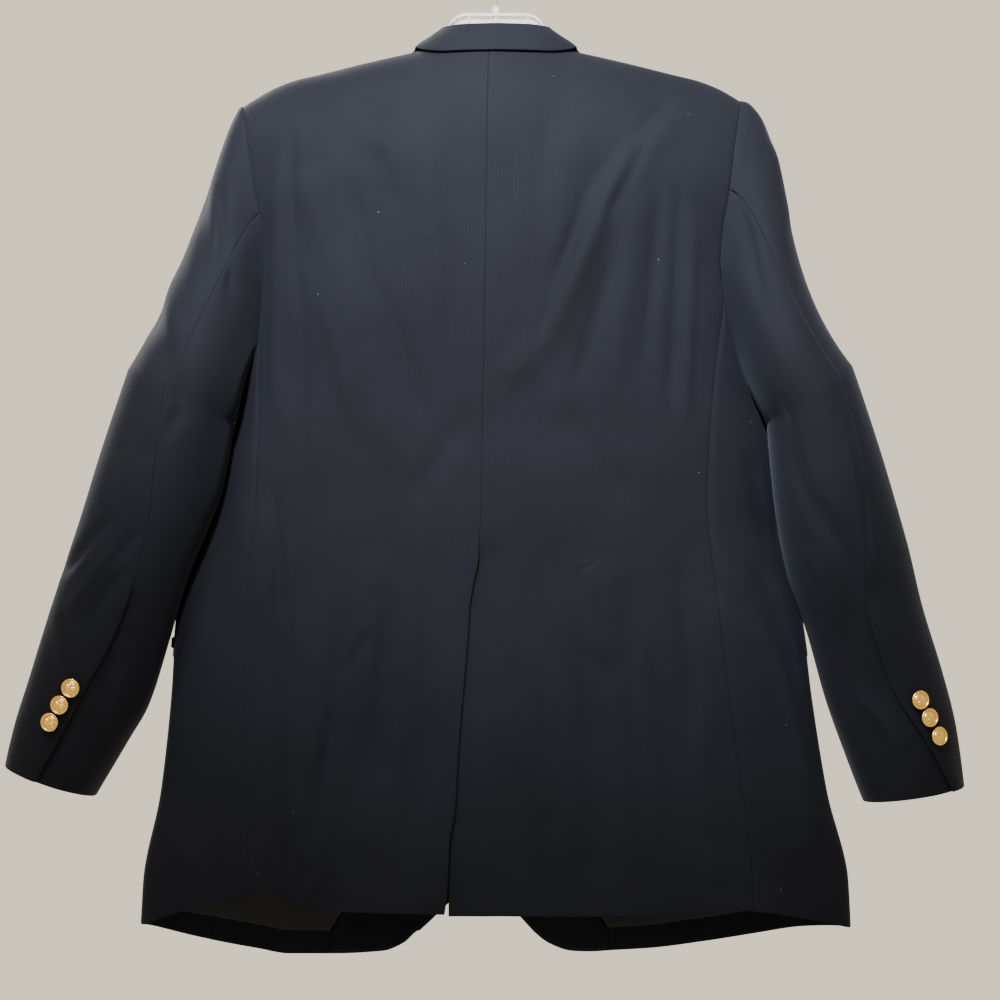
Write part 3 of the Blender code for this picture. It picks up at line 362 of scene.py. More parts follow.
def even(count):
    return np.linspace(0, 1, count)


def xyz(x, y, z):
    return np.stack(np.broadcast_arrays(x, y, z), -1)


def fold_height(folds, x, drop):
    """How far the folds raise the cloth at places seen straight on."""
    total = np.zeros(np.broadcast(x, drop).shape)
    for fold in folds:
        run_x, run_drop = fold.x2 - fold.x1, fold.drop2 - fold.drop1
        length = math.hypot(run_x, run_drop)
        along = ((x - fold.x1) * run_x + (drop - fold.drop1) * run_drop) / length ** 2
        across = ((x - fold.x1) * run_drop - (drop - fold.drop1) * run_x) / length
        taper = ease((along + 0.18) / 0.36) * ease((1.18 - along) / 0.36)
        total += fold.height * taper * np.exp(-(across / fold.width) ** 2)
    return total


def ridge_drop(x):
    return read(RIDGE, np.abs(x), "drop")


def half_width(sign, drop):
    return np.where(sign > 0, read(SECTIONS, drop, "left"), read(SECTIONS, drop, "right"))


def turn_at(sign, face, x, drop):
    ratio = np.minimum(np.abs(x) / half_width(sign, drop), 1.0)
    turn = np.degrees(np.arcsin(ratio ** (ROUNDNESS / 2)))
    return turn if face == "back" else 180 - turn


def body_middle(sign, turn, drop):
    """Points of the body; the turn is 0 at the middle back, 90 at the side, 180 in front."""
    sine, cosine = np.sin(np.radians(turn)), np.cos(np.radians(turn))
    power = 2 / ROUNDNESS
    x = sign * half_width(sign, drop) * np.copysign(np.abs(sine) ** power, sine)
    behind = cosine >= 0
    depth = np.where(behind, read(SECTIONS, drop, "back"), read(SECTIONS, drop, "front"))
    y = np.copysign(depth * np.abs(cosine) ** power, cosine)
    fall = np.clip((drop - ridge_drop(x)) / SHOULDER_ROLL, 0, 1)
    y = y * np.sqrt(1 - (1 - fall) ** 2)
    steady = np.minimum(np.abs(cosine) * 2.2, 1.0) * ease(fall * 3)
    raised = np.where(behind, *(fold_height(FOLDS[face], x, drop) for face in FOLDS))
    y = y + np.copysign(raised * steady, cosine)
    return xyz(x, y, -drop)


def body_point(sign, turn, drop, out=0.0):
    """Body points moved out by so many millimetres along the cloth's own normal."""
    sign, turn, drop = np.broadcast_arrays(np.asarray(sign, float), turn, drop)
    point = body_middle(sign, turn, drop)
    x, y = point[..., 0], point[..., 1]
    near_top = drop - ridge_drop(x) < 2.0
    across = body_middle(sign, turn + 0.5, drop) - body_middle(sign, turn - 0.5, drop)
    above = np.where(near_top[..., None], point, body_middle(sign, turn, drop - 1.0))
    normal = unit(np.cross(across, body_middle(sign, turn, drop + 1.0) - above))
    outward = normal[..., 0] * x * 0.2 + normal[..., 1] * y + normal[..., 2] * 60 * near_top
    normal = normal * np.where(outward < 0, -1.0, 1.0)[..., None]
    return point + normal * np.broadcast_to(out, x.shape)[..., None]


def face_point(face, x, drop, out=0.0):
    """Body points found by where they are seen, with x counted towards the left."""
    x, drop = np.broadcast_arrays(np.asarray(x, float), np.asarray(drop, float))
    sign = np.where(x >= 0, 1.0, -1.0)
    return body_point(sign, turn_at(sign, face, x, drop), drop, out)


def two_spans(middle, lower, end, upper):
    """Even steps from 0 to a middle value, then on to an end."""
    return np.concatenate([np.linspace(0, middle, lower), np.linspace(middle, end, upper)[1:]])


def row_drops(hem, middle, top, steps):
    """Drops down a panel; the steps run from 0 at the hem to 1 at the middle and 2 at the top."""
    upper = np.clip(2 - steps, 0, 1) ** 2
    return np.where(steps <= 1, mix(hem, middle, steps), mix(top, middle, upper))


def vent_edge_x(side, drop):
    return SIDES[side] * CLOTH_GAP / 2 + np.where(
        np.asarray(drop) <= VENT_TOP, read(CENTRE_BACK, drop, side), read(VENT_EDGE, drop, side))


def vent_lift(side, x, drop):
    start = ease((drop - VENT_TOP + 26) / 22)
    edge = read(VENT_EDGE, np.maximum(drop, VENT_TOP), "left")
    if side == "left":
        return VENT_LIFT * start * ease(1 - (x - edge) / 45)
    return -VENT_LIFT * start * ease((x - edge + 36) / 28)


def outer_x(face, side, drop, way=-1):
    """A panel's outer edge, or the side panel's edge beside it where the way is 1."""
    return SIDES[side] * (read(OUTER[face], drop, side) + way * CLOTH_GAP / 2)


def back_grid(side):
    inmost = vent_edge_x(side, TOP_LEVEL)
    outmost = outer_x("back", side, TOP_LEVEL)
    neck = (SIDES[side] * NECK_X - inmost) / (outmost - inmost)
    part = two_spans(neck, 15, 1, 42)[:, None]
    steps = two_spans(1, 132, 2, 56)[None, :]
    level = HEM_LEVEL["back"]
    hem_x = mix(vent_edge_x(side, level), outer_x("back", side, level), part)
    top = np.maximum(ridge_drop(mix(inmost, outmost, part)), ridge_drop(NECK_X))
    hem = read(BACK_HEM, np.abs(hem_x), side)
    drop = row_drops(hem, mix(MIDDLE_LEVEL["back"], BACK_JOINT[side], part), top, steps)
    x = mix(vent_edge_x(side, drop), outer_x("back", side, drop), part)
    points = face_point("back", x, drop, vent_lift(side, x, drop))
    points[:, -1, 1] = np.maximum(points[:, -1, 1], CLOTH_GAP / 2)
    return points


def front_lap(side, x, drop):
    start = ease((drop - 430) / 70)
    inward = (x - read(FRONT_EDGE, drop, side)) * SIDES[side]
    lift = FRONT_LIFT if side == "left" else -FRONT_LIFT
    return lift * start * ease((150 - inward) / 80)


def front_x(side, drop, part):
    inner = read(FRONT_EDGE, drop, side)
    return mix(inner, outer_x("front", side, drop), part)


def front_grid(side, part, steps, out=0.0):
    part, steps = part[:, None], steps[None, :]
    top = ridge_drop(front_x(side, TOP_LEVEL, part))
    hem = read(FRONT_HEM, np.abs(front_x(side, HEM_LEVEL["front"], part)), side)
    drop = row_drops(hem, mix(MIDDLE_LEVEL["front"], FRONT_JOINT, part), top, steps)
    x = front_x(side, drop, part)
    points = face_point("front", x, drop, front_lap(side, x, drop) + out)
    if steps.max() == 2:
        points[:, -1, 1] = np.minimum(points[:, -1, 1], -CLOTH_GAP / 2)
    return points


def seam_turn(side, face, drop):
    return turn_at(SIDES[side], face, outer_x(face, side, drop, 1), drop)


def flank_top(side, part):
    """The drop of the side panel's top edge, which dips under the arm."""
    hollow = 1 - (2 * part - 1) ** 2
    return mix(mix(BACK_JOINT[side], FRONT_JOINT, part), ARMPIT,
               np.minimum(hollow * 1.25, 1.0) ** 0.8)


def side_grid(side, part, steps, out=0.0):
    """The side panel, from the side-back seam round to the side-front seam."""
    part, steps = part[:, None], steps[None, :]
    sign = SIDES[side]
    hem_back = read(BACK_HEM, abs(outer_x("back", side, HEM_LEVEL["back"], 1)), side)
    hem_front = read(FRONT_HEM, abs(outer_x("front", side, HEM_LEVEL["front"], 1)), side)
    level = mix(mix(hem_back, BACK_JOINT[side], steps), mix(hem_front, FRONT_JOINT, steps), part)
    turn = mix(seam_turn(side, "back", level), seam_turn(side, "front", level), part)
    x = np.abs(body_middle(sign, turn, level)[..., 0])
    hem = np.where(turn < 90, read(BACK_HEM, x, side), read(FRONT_HEM, x, side))
    drop = mix(hem, flank_top(side, part), steps)
    turn = mix(seam_turn(side, "back", drop), seam_turn(side, "front", drop), part)
    return body_point(sign, turn, drop, out)


def sleeve_section(side, out_drop):
    """Middle, outward half axis, half depth and downward axis of sleeve sections."""
    cuts, sign = SLEEVE_CUTS[side], SIDES[side]
    out_drop = np.asarray(out_drop, float)
    outer = xyz(sign * read(cuts, out_drop, "out_x"), 0.0, -out_drop)
    inner = xyz(sign * read(cuts, out_drop, "in_x"), 0.0, -read(cuts, out_drop, "in_drop"))
    middle, half = (outer + inner) / 2, (outer - inner) / 2
    middle[..., 1] = -read(cuts, out_drop, "forward")
    down = unit(xyz(-half[..., 2] * sign, 0.0, half[..., 0] * sign))
    return middle, half, read(cuts, out_drop, "depth"), down * -np.sign(down[..., 2:])


def sleeve_point(side, out_drop, turn, out=0.0):
    """Points on the lower sleeve; the turn is 0 outside, 90 behind, 180 towards the body."""
    middle, half, depth, _ = sleeve_section(side, out_drop)
    cosine, sine = np.cos(np.radians(turn)), np.sin(np.radians(turn))
    length = norm(half)
    point = middle + half * cosine[..., None] + xyz(0.0, depth * sine, 0.0)
    normal = half * (cosine / length ** 2)[..., None] + xyz(0.0, sine / depth, 0.0)
    return point + unit(normal) * np.broadcast_to(out, cosine.shape)[..., None]


def edge_points(side, face, parts):
    """Points down a panel's armhole edge, from 0 at the shoulder to 1 at its joint."""
    joint = BACK_JOINT[side] if face == "back" else FRONT_JOINT
    top = ridge_drop(outer_x(face, side, TOP_LEVEL))
    drop = top + parts * (joint - top)
    points = face_point(face, outer_x(face, side, drop), drop)
    points[parts == 0, 1] = CLOTH_GAP / 2
    return points


def armhole_edges(side):
    """The armhole along the panels' edges: over the top, and under the arm."""
    close = np.linspace(0.06, 1, 60) ** 2
    over = np.concatenate([
        edge_points(side, "front", (0.84 * close)[::-1]),
        edge_points(side, "back", np.concatenate([[0.0], 0.47 * close]))])
    part = np.linspace(0, 0.97, 60)
    top = flank_top(side, part)
    turn = mix(seam_turn(side, "back", top), seam_turn(side, "front", top), part)
    under = np.concatenate([
        edge_points(side, "back", np.linspace(0.47, 0.84, 20)),
        body_point(SIDES[side], turn, top), edge_points(side, "front", np.linspace(1, 0.84, 12))])
    return over, under


def along_edge(points, over, spacing):
    """Even points along an armhole edge and their parts, -1 and 1 at its ends, 0 at the pivot."""
    runs = runs_along(points)
    pivot = runs[np.argmax(points[:, 2] if over else -points[:, 2])]
    trim = 1.7 * CLOTH_GAP
    count = int(runs[-1] / spacing)
    even = np.linspace(trim, runs[-1] - trim, count)
    spot = np.stack([np.interp(even, runs, points[:, k]) for k in range(3)], 1)
    even = (even - even[0]) * runs[-1] / (even[-1] - even[0])
    return spot, np.where(even < pivot, (even - pivot) / pivot, (even - pivot) / (runs[-1] - pivot))


def sleeve_turns(side, out_drop, parts, over):
    seam = read(SLEEVE_CUTS[side], out_drop, "seam")
    gap = math.degrees(1.3 * CLOTH_GAP / 55)
    if over:
        return np.where(parts < 0, (-FOREARM_TURN - gap) * parts, (seam - gap) * parts)
    lap = CUFF_LAP_TURN * ease((out_drop - CUFF_VENT[side]) / 16)
    start, end = seam + gap - lap, 360 + FOREARM_TURN - gap
    return np.where(parts < 0, mix(180, start, -parts), mix(180, end, parts))


def cuff_lift(side, out_drop, turn, over):
    start = ease((out_drop - CUFF_VENT[side] + 60) / 34)
    seam = read(SLEEVE_CUTS[side], out_drop, "seam")
    if over:
        return np.where(turn > 0, CUFF_LIFT * start * ease(1 - (seam - turn) / 34), 0.0)
    return np.where(turn < 180, -CUFF_LIFT * start * ease(1 - (turn - seam) / 30), 0.0)


def sleeve_grid(side, over):
    sign = SIDES[side]
    edge, parts = along_edge(armhole_edges(side)[0 if over else 1], over, SLEEVE_SPACING)
    cuts = SLEEVE_CUTS[side]
    first, last = cuts[0].out_drop, cuts[-1].out_drop
    turns = sleeve_turns(side, first, parts, over)
    end = sleeve_point(side, np.full(len(parts), first), turns)
    span = norm(end - edge)[:, None]
    round_top = np.maximum(np.cos(np.radians(turns)), 0.0)
    full = mix(0.36, SLEEVE_HEAD[side], round_top)[:, None]
    leave = xyz(sign * mix(0.75, 0.97, round_top), 0.25 * np.sin(np.radians(turns)),
                -mix(0.66, 0.22, round_top)) * span * full
    flare = xyz(sign * 0.12 * round_top, 0.0, 0.0)
    arrive = unit(sleeve_section(side, first)[3] + flare) * span * 1.35
    step = (even(62)[:-1] ** 1.25)[None, :, None]
    edge, end, leave, arrive = (v[:, None, :] for v in (edge, end, leave, arrive))
    cap = curve(edge, end, leave, arrive, step) + np.array((sign * CLOTH_GAP * 1.7, 0, 0))
    rope = ROPING * np.exp(-((step - 0.05) / 0.045) ** 2) * (round_top ** 0.5)[:, None, None]
    if over:
        cap = cap + np.array((sign * 0.35, 0, 0.94)) * rope
    out_drop = np.linspace(first, last, 88)[None, :]
    turn = sleeve_turns(side, out_drop, parts[:, None], over)
    out_drop = np.broadcast_to(out_drop, turn.shape)
    lower = sleeve_point(side, out_drop, turn, cuff_lift(side, out_drop, turn, over))
    return np.concatenate([cap, lower], 1)


def smooth_row(points, count):
    """Even points on a smooth curve through the control points, along the last but one axis."""
    before = points[..., :1, :] * 2 - points[..., 1:2, :]
    tail = points[..., -1:, :] * 2 - points[..., -2:-1, :]
    line = np.concatenate([before, points, tail], -2)
    lengths = norm(np.diff(points, axis=-2)).mean(tuple(range(points.ndim - 2)))
    runs = np.insert(np.sqrt(lengths).cumsum(), 0, 0.0)
    even = np.linspace(0, runs[-1], count)
    i = np.clip(np.searchsorted(runs, even, side="right") - 1, 0, len(runs) - 2)
    t = ((even - runs[i]) / (runs[i + 1] - runs[i]))[:, None]
    p0, p1, p2, p3 = (line[..., i + k, :] for k in range(4))
    knots = np.concatenate([[runs[0] - runs[1]], runs, [2 * runs[-1] - runs[-2]]])
    k0, k1, k2, k3 = (knots[i + k][:, None] for k in range(4))
    span = k2 - k1
    m1 = ((p1 - p0) / (k1 - k0) - (p2 - p0) / (k2 - k0) + (p2 - p1) / span) * span
    m2 = ((p2 - p1) / span - (p3 - p1) / (k3 - k1) + (p3 - p2) / (k3 - k2)) * span
    return curve(p1, p2, m1, m2, t)


def collar_grid():
    """The collar from the left front end round the back to the right one."""
    t = even(64)
    halves = []
    for side in ("left", "right"):
        sign = SIDES[side]

        def spot(name):
            x, y, drop = (read(COLLAR, t, name + "_" + k) for k in ("x", "y", "drop"))
            return xyz(sign * x, y, -drop)
        fold, seam = spot("fold"), spot("seam")
        lay = LAPEL_WALL + mix(0.9, 1.9, ease((t - 0.4) / 0.1))
        edge_x, edge_drop = (read(COLLAR, t, "edge_" + k) for k in ("x", "drop"))
        behind = face_point("back", sign * edge_x, edge_drop, lay)
        ahead = face_point("front", sign * edge_x, edge_drop, lay)
        edge = np.where((t < 0.5)[:, None], behind, ahead)
        stand, fall = unit(seam - fold), unit(edge - fold)
        rise, across = -unit(stand + fall), unit(fall - stand)
        away = unit(rise - fall * (rise * fall).sum(-1, keepdims=True))
        inner = fold - across * COLLAR_BEND - rise * 4.0
        outer = fold + across * COLLAR_BEND - rise * 4.0
        skew = ease((t - 0.72) / 0.28)[:, None]
        notch = face_point("front", sign * NOTCH[0], NOTCH[1] - 0.9, LAPEL_WALL + 2.1)
        gorge = face_point("front", sign * mix(GORGE_ROLL[0], NOTCH[0], 0.5),
                           mix(GORGE_ROLL[1], NOTCH[1], 0.5) - 0.9, LAPEL_WALL + 3.5)
        lines = np.stack([
            seam, mix(seam, inner, 0.5), inner,
            fold - across * COLLAR_BEND * 0.6 - rise * 0.6,
            fold + across * COLLAR_BEND * 0.6 - rise * 0.6,
            outer, mix(mix(outer, edge, 0.37) + away * 1.2, gorge, skew),
            mix(mix(outer, edge, 0.72) + away * 1.0, notch, skew),
            edge], 1)
        halves.append(smooth_row(lines, 34))
    return np.concatenate([halves[0][::-1], halves[1][1:]])


def lapel_grid(side):
    """The lapel, from round the roll line to its outer edge, foot to gorge."""
    sign = SIDES[side]
    part = even(84)
    foot = LAPEL_FOOT[side]
    roll_drop = mix(foot, GORGE_ROLL[1], part)
    roll_x = read(FRONT_EDGE, roll_drop, side)
    foot_x = read(FRONT_EDGE, foot, side) + sign * 7
    edge_x = mix(foot_x, sign * LAPEL_TIP[0], part ** 0.8)
    edge_drop = mix(foot - 4, LAPEL_TIP[1], part)
    stand = mix(4.2, 6.6, ease(part * 2))
    lift = front_lap(side, roll_x, roll_drop)
    row = [face_point("front", roll_x + sign * shift, roll_drop, out + lift)
           for shift, out in ((-3.1, -0.6), (-3.4, stand * 0.55), (-1.4, stand * 0.93))]
    for across in (0.06, 0.22, 0.42, 0.62, 0.82, 1.0):
        x, drop = mix(roll_x, edge_x, across), mix(roll_drop, edge_drop, across)
        out = mix(stand, LAPEL_WALL + 1.3, ease(across * 1.4))
        row.append(face_point("front", x, drop, out + front_lap(side, x, drop)))
    return smooth_row(np.stack(row, 1), 36)


def flap_grid(side):
    low, back = even(20)[:, None], even(40)[None, :]
    bottom = FLAP_DEPTH - 9 * np.maximum(0.0, np.abs(2 * back - 1) - 0.72) / 0.28
    drop = FLAP_TOP + bottom * low - 5 * (1 - back)
    stand = mix(0.45, 0.9, low) + 0.6 * ease((back - 0.6) / 0.4) * low
    turn = np.broadcast_to(mix(131, 96, back), drop.shape)
    return body_point(SIDES[side], turn, drop, WALL + stand)


# Parts of a front at the facing's outer edge, and the rows that facing and lining reach.
FACING_PART = {"left": 0.43, "right": 0.31}
FACING_TOP = 0.58
LINING_FOOT, LINING_TOP = 0.04, 0.70


def facing_grid(side):
    part = np.linspace(0.006, FACING_PART[side] - 0.004, 26)
    return front_grid(side, part, np.linspace(0.004, FACING_TOP, 76), -(WALL + 0.35))


def lining_grid(side):
    """The lining, with the loose wrinkles of thin cloth."""
    steps = np.linspace(LINING_FOOT, LINING_TOP, 90)
    inward = -(WALL + 1.1)
    part = np.linspace(FACING_PART[side] + 0.004, 0.985, 44)
    points = np.concatenate([front_grid(side, part, steps, inward),
                             side_grid(side, np.linspace(0.995, 0.6, 20), steps, inward)])
    across = np.arange(len(points))[:, None] / len(points)
    low = np.clip((LINING_TOP - steps) / (LINING_TOP - LINING_FOOT), 0, 1)[None, :]
    loose = np.zeros(points.shape[:2])
    for wrinkle in WRINKLES:
        run = low - wrinkle.height - wrinkle.tilt * (across - wrinkle.place)
        loose += (wrinkle.depth * np.exp(-(run / wrinkle.width) ** 2)
                  * np.exp(-((across - wrinkle.place) / wrinkle.reach) ** 2))
    edge = ease(across / 0.05) * ease((1 - across) / 0.05) * ease((1 - low) / 0.05)
    return points - grid_normals(points, body_axis) * (loose * edge)[..., None]


def body_axis(points):
    return points * np.array((0.0, 0.0, 1.0))


def sleeve_axis(side):
    first, last = SLEEVE_CUTS[side][0].out_drop, SLEEVE_CUTS[side][-1].out_drop

    def inside(points):
        return sleeve_section(side, np.clip(-points[..., 2] - 12, first, last))[0]
    return inside


def collar_axis(points):
    """A line under the collar's fold, between its stand and its fall."""
    middle = (points[:, :1] + points[:, -1:]) / 2
    return np.broadcast_to(middle, points.shape)


def grid_normals(points, inside):
    """Normals of a grid that face away from what it surrounds."""
    normal = np.cross(np.gradient(points, axis=0), np.gradient(points, axis=1))
    outward = (normal * (points - inside(points))).sum() > 0
    return unit(normal) if outward else -unit(normal)


def edge_distance(points):
    """How far each point of a grid lies from the grid's nearest edge, in millimetres."""
    near = []
    for axis in (0, 1):
        run = runs_along(points, axis)
        near.append(np.minimum(run, run.take([-1], axis) - run))
    return np.minimum(*near)


def crease(points, normal):
    """Move a grid along its normals by the small creases and a slight unevenness."""
    x, drop = points[..., 0], -points[..., 2]
    height = sum(fold_height(CREASES[face], x, drop) * ease(way * normal[..., 1] * 2.4 + 0.25)
                 for face, way in (("back", 1), ("front", -1)))
    wave = np.zeros(x.shape)
    for k, (wide, tall, tilt) in enumerate(WAVES):
        wave += np.sin(x / wide + drop * tilt + points[..., 1] / 37 + 1.7 * k) * np.sin(
            drop / tall + 2.3 * k)
    return height + wave * UNEVEN


def add_margins(points):
    """Add a line of points close inside each edge, to keep the edge's turn narrow."""
    for _ in range(2):
        lines = []
        for edge, following in ((points[:1], points[1:2]), (points[-1:], points[-2:-1])):
            part = np.clip(EDGE_MARGIN / (norm(following - edge) + 1e-6), 0.02, 0.5)
            lines.append(mix(edge, following, part[..., None]))
        points = np.concatenate([points[:1], lines[0], points[1:-1], lines[1], points[-1:]])
        points = points.transpose(1, 0, 2)
    return points


def smooth_mesh(name, coords, faces):
    """A smooth-shaded mesh from points in millimetres."""
    mesh = bpy.data.meshes.new(name)
    mesh.from_pydata((np.asarray(coords) * MM).tolist(), [], faces)
    mesh.polygons.foreach_set("use_smooth", [True] * len(faces))
    return mesh


def cloth(name, node, points, wall=WALL, inside=body_axis, slot="wool", creases=True, roll=0.3):
    """A shell through a grid of points, with rounded edges, its creases and a flat map."""
    if creases:
        normal = grid_normals(points, inside)
        height = crease(points, normal) * ease(edge_distance(points) / 14)
        points = points + normal * height[..., None]
    points = add_margins(points)
    normal = grid_normals(points, inside)
    turned = (edge_distance(points) < EDGE_MARGIN / 3) * 1.0
    outer = points - normal * (roll * turned)[..., None]
    inner = points - normal * (wall - 0.35 * turned)[..., None]
    count = turned.size
    spot = np.arange(count).reshape(turned.shape)
    quads = np.stack([spot[:-1, :-1], spot[1:, :-1], spot[1:, 1:], spot[:-1, 1:]], -1)
    quads = quads.reshape(-1, 4)
    rim = np.concatenate([spot[:, 0], spot[-1, 1:], spot[-2::-1, -1], spot[0, -2::-1]])
    around = np.stack([rim[:-1], rim[1:], rim[1:] + count, rim[:-1] + count], -1)
    facing = np.cross(points[1, 0] - points[0, 0], points[0, 1] - points[0, 0])
    if facing @ normal[0, 0] < 0:
        quads, around = quads[:, ::-1], around[:, ::-1]
    faces = np.concatenate([quads, quads[:, ::-1] + count, around[:, ::-1]])
    coords = np.concatenate([outer.reshape(-1, 3), inner.reshape(-1, 3)])
    mesh = smooth_mesh(name, coords, faces.tolist())
    flat = np.stack([runs_along(points, 0), runs_along(points, 1)], -1).reshape(-1, 2) * MM
    index = np.zeros(len(mesh.loops), int)
    mesh.loops.foreach_get("vertex_index", index)
    mesh.uv_layers.new(name="cut").data.foreach_set("uv", flat[index % count].ravel())
    thing = add_piece(name, mesh, slot)
    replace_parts(thing, node)


def add_thing(name, data):
    thing = bpy.data.objects.new(name, data)
    bpy.context.scene.collection.objects.link(thing)
    return thing


def add_piece(name, data, slot, look=None):
    """A visible piece of the one body, in the look of its slot unless another is named."""
    data.materials.append(looks[look or slot])
    thing = add_thing(name, data)
    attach(thing, "root")
    return thing


def set_inputs(node, **values):
    for name, value in values.items():
        node.inputs[name.replace("_", " ")].default_value = value


def new_material(name):
    """A material, its tree and shader, and the places on the object and on the flat cut."""
    material = bpy.data.materials.new(name)
    material.use_nodes = True
    tree = material.node_tree
    place = tree.nodes.new("ShaderNodeTexCoord").outputs
    return material, tree, tree.nodes["Principled BSDF"], place["Object"], place["UV"]


def ramp(tree, source, stops):
    """A colour ramp; each stop is a place and a colour or a grey."""
    node = tree.nodes.new("ShaderNodeValToRGB")
    marks = node.color_ramp.elements
    while len(marks) < len(stops):
        marks.new(0.5)
    for mark, (place, colour) in zip(marks, stops):
        mark.position = place
        mark.color = (*colour, 1.0) if isinstance(colour, tuple) else (colour, colour, colour, 1.0)
    tree.links.new(source, node.inputs[0])
    return node.outputs[0]


def texture(tree, kind, where, **values):
    node = tree.nodes.new("ShaderNodeTex" + kind)
    set_inputs(node, **values)
    tree.links.new(where, node.inputs["Vector"])
    return node


def noise(tree, where, scale, detail=2.0, rough=0.5):
    return texture(tree, "Noise", where, Scale=scale, Detail=detail,
                   Roughness=rough).outputs["Fac"]


def wave(tree, where, direction, scale, distortion=0.4):
    node = texture(tree, "Wave", where, Scale=scale, Distortion=distortion, Detail=1.0,
                   Detail_Scale=0.3)
    node.bands_direction = direction
    return node.outputs["Fac"]


def blend_colours(tree, how, amount, first, second):
    node = tree.nodes.new("ShaderNodeMix")
    node.data_type = "RGBA"
    node.blend_type = how
    for slot, value in ((0, amount), (6, first), (7, second)):
        if isinstance(value, bpy.types.NodeSocket):
            tree.links.new(value, node.inputs[slot])
        elif slot == 0:
            node.inputs[slot].default_value = value
        else:
            node.inputs[slot].default_value = (*value, 1.0)
    return node.outputs[2]


def bump(tree, shader, heights):
    """Chain bumps: each is a height socket, a strength and a distance in metres."""
    last = None
    for height, strength, distance in heights:
        node = tree.nodes.new("ShaderNodeBump")
        set_inputs(node, Strength=strength, Distance=distance)
        tree.links.new(height, node.inputs["Height"])
        if last is not None:
            tree.links.new(last, node.inputs["Normal"])
        last = node.outputs["Normal"]
    tree.links.new(last, shader.inputs["Normal"])


def worsted(name, dark, light, thread):
    """Fine worsted: crossed threads, a slightly uneven dye, and a few specks of lint."""
    material, tree, shader, solid, flat = new_material(name)
    rate = 1.0 / (thread * 20)
    weave = tree.nodes.new("ShaderNodeMath")
    weave.operation = "MULTIPLY"
    for slot, way in enumerate("XY"):
        tree.links.new(wave(tree, flat, way, rate), weave.inputs[slot])
    weave = weave.outputs[0]
    slub = noise(tree, flat, 900.0, 3.0, 0.7)
    dye = noise(tree, solid, 9.0, 4.0, 0.55)
    colour = blend_colours(tree, "MIX", ramp(tree, dye, ((0.3, 0.0), (0.7, 1.0))), dark, light)
    threads = ramp(tree, weave, ((0.0, 0.9), (0.8, 1.07)))
    colour = blend_colours(tree, "MULTIPLY", 1.0, colour, threads)
    fuzz = ramp(tree, slub, ((0.3, 0.8), (0.72, 1.25)))
    colour = blend_colours(tree, "MULTIPLY", 0.8, colour, fuzz)
    lint = texture(tree, "Voronoi", solid, Scale=26.0, Randomness=1.0).outputs["Distance"]
    specks = ramp(tree, lint, ((0.0, 1.0), (0.014, 0.75), (0.022, 0.0)))
    colour = blend_colours(tree, "MIX", specks, colour, (0.035, 0.037, 0.042))
    tree.links.new(colour, shader.inputs["Base Color"])
    set_inputs(shader, Roughness=0.82, Specular_IOR_Level=0.06, Sheen_Weight=0.03,
               Sheen_Roughness=0.45, Sheen_Tint=(0.5, 0.56, 0.8, 1.0))
    bump(tree, shader, ((weave, 0.1, 0.00012), (slub, 0.2, 0.0002),
                        (noise(tree, solid, 60.0, 3.0), 0.12, 0.0008)))
    return material


def satin(name, dark, light):
    """The lining: a fine twill with a soft shine."""
    material, tree, shader, solid, flat = new_material(name)
    turn = tree.nodes.new("ShaderNodeMapping")
    set_inputs(turn, Rotation=(0.0, 0.0, math.radians(45)))
    tree.links.new(flat, turn.inputs["Vector"])
    twill = wave(tree, turn.outputs["Vector"], "X", 100.0, 0.2)
    colour = blend_colours(tree, "MIX", noise(tree, solid, 12.0, 3.0), dark, light)
    threads = ramp(tree, twill, ((0.0, 0.85), (1.0, 1.1)))
    colour = blend_colours(tree, "MULTIPLY", 1.0, colour, threads)
    tree.links.new(colour, shader.inputs["Base Color"])
    tree.links.new(ramp(tree, noise(tree, solid, 40.0, 3.0), ((0.3, 0.26), (0.7, 0.36))),
                   shader.inputs["Roughness"])
    set_inputs(shader, Specular_IOR_Level=0.13)
    bump(tree, shader, ((twill, 0.2, 0.0001), (noise(tree, solid, 45.0, 3.0), 0.35, 0.001)))
    return material


def mottled(name, grain, dark, light, rough, spread=None, relief=None, **inputs):
    """Two tones mottled by a noise, which rough also follows where it is a ramp. Relief is a
    noise of its own, or () for the mottling's, with a strength and a distance."""
    material, tree, shader, solid, _ = new_material(name)
    marks = noise(tree, solid, *grain)
    amount = ramp(tree, marks, spread) if spread else marks
    tree.links.new(blend_colours(tree, "MIX", amount, dark, light), shader.inputs["Base Color"])
    if isinstance(rough, float):
        set_inputs(shader, Roughness=rough)
    else:
        tree.links.new(ramp(tree, marks, rough), shader.inputs["Roughness"])
    set_inputs(shader, **inputs)
    if relief:
        own, strength, distance = relief
        bump(tree, shader, ((noise(tree, solid, *own) if own else marks, strength, distance),))
    return material


def ring_faces(rings, count, first=0):
    """Faces of a tube of closed rings of points, with a cap over each of its ends."""
    spot = first + np.arange(rings * count).reshape(rings, count)
    after = np.roll(spot, -1, 1)
    quads = np.stack([spot[:-1], spot[1:], after[1:], after[:-1]], -1).reshape(-1, 4)
    return quads.tolist() + [spot[0].tolist(), spot[-1, ::-1].tolist()]


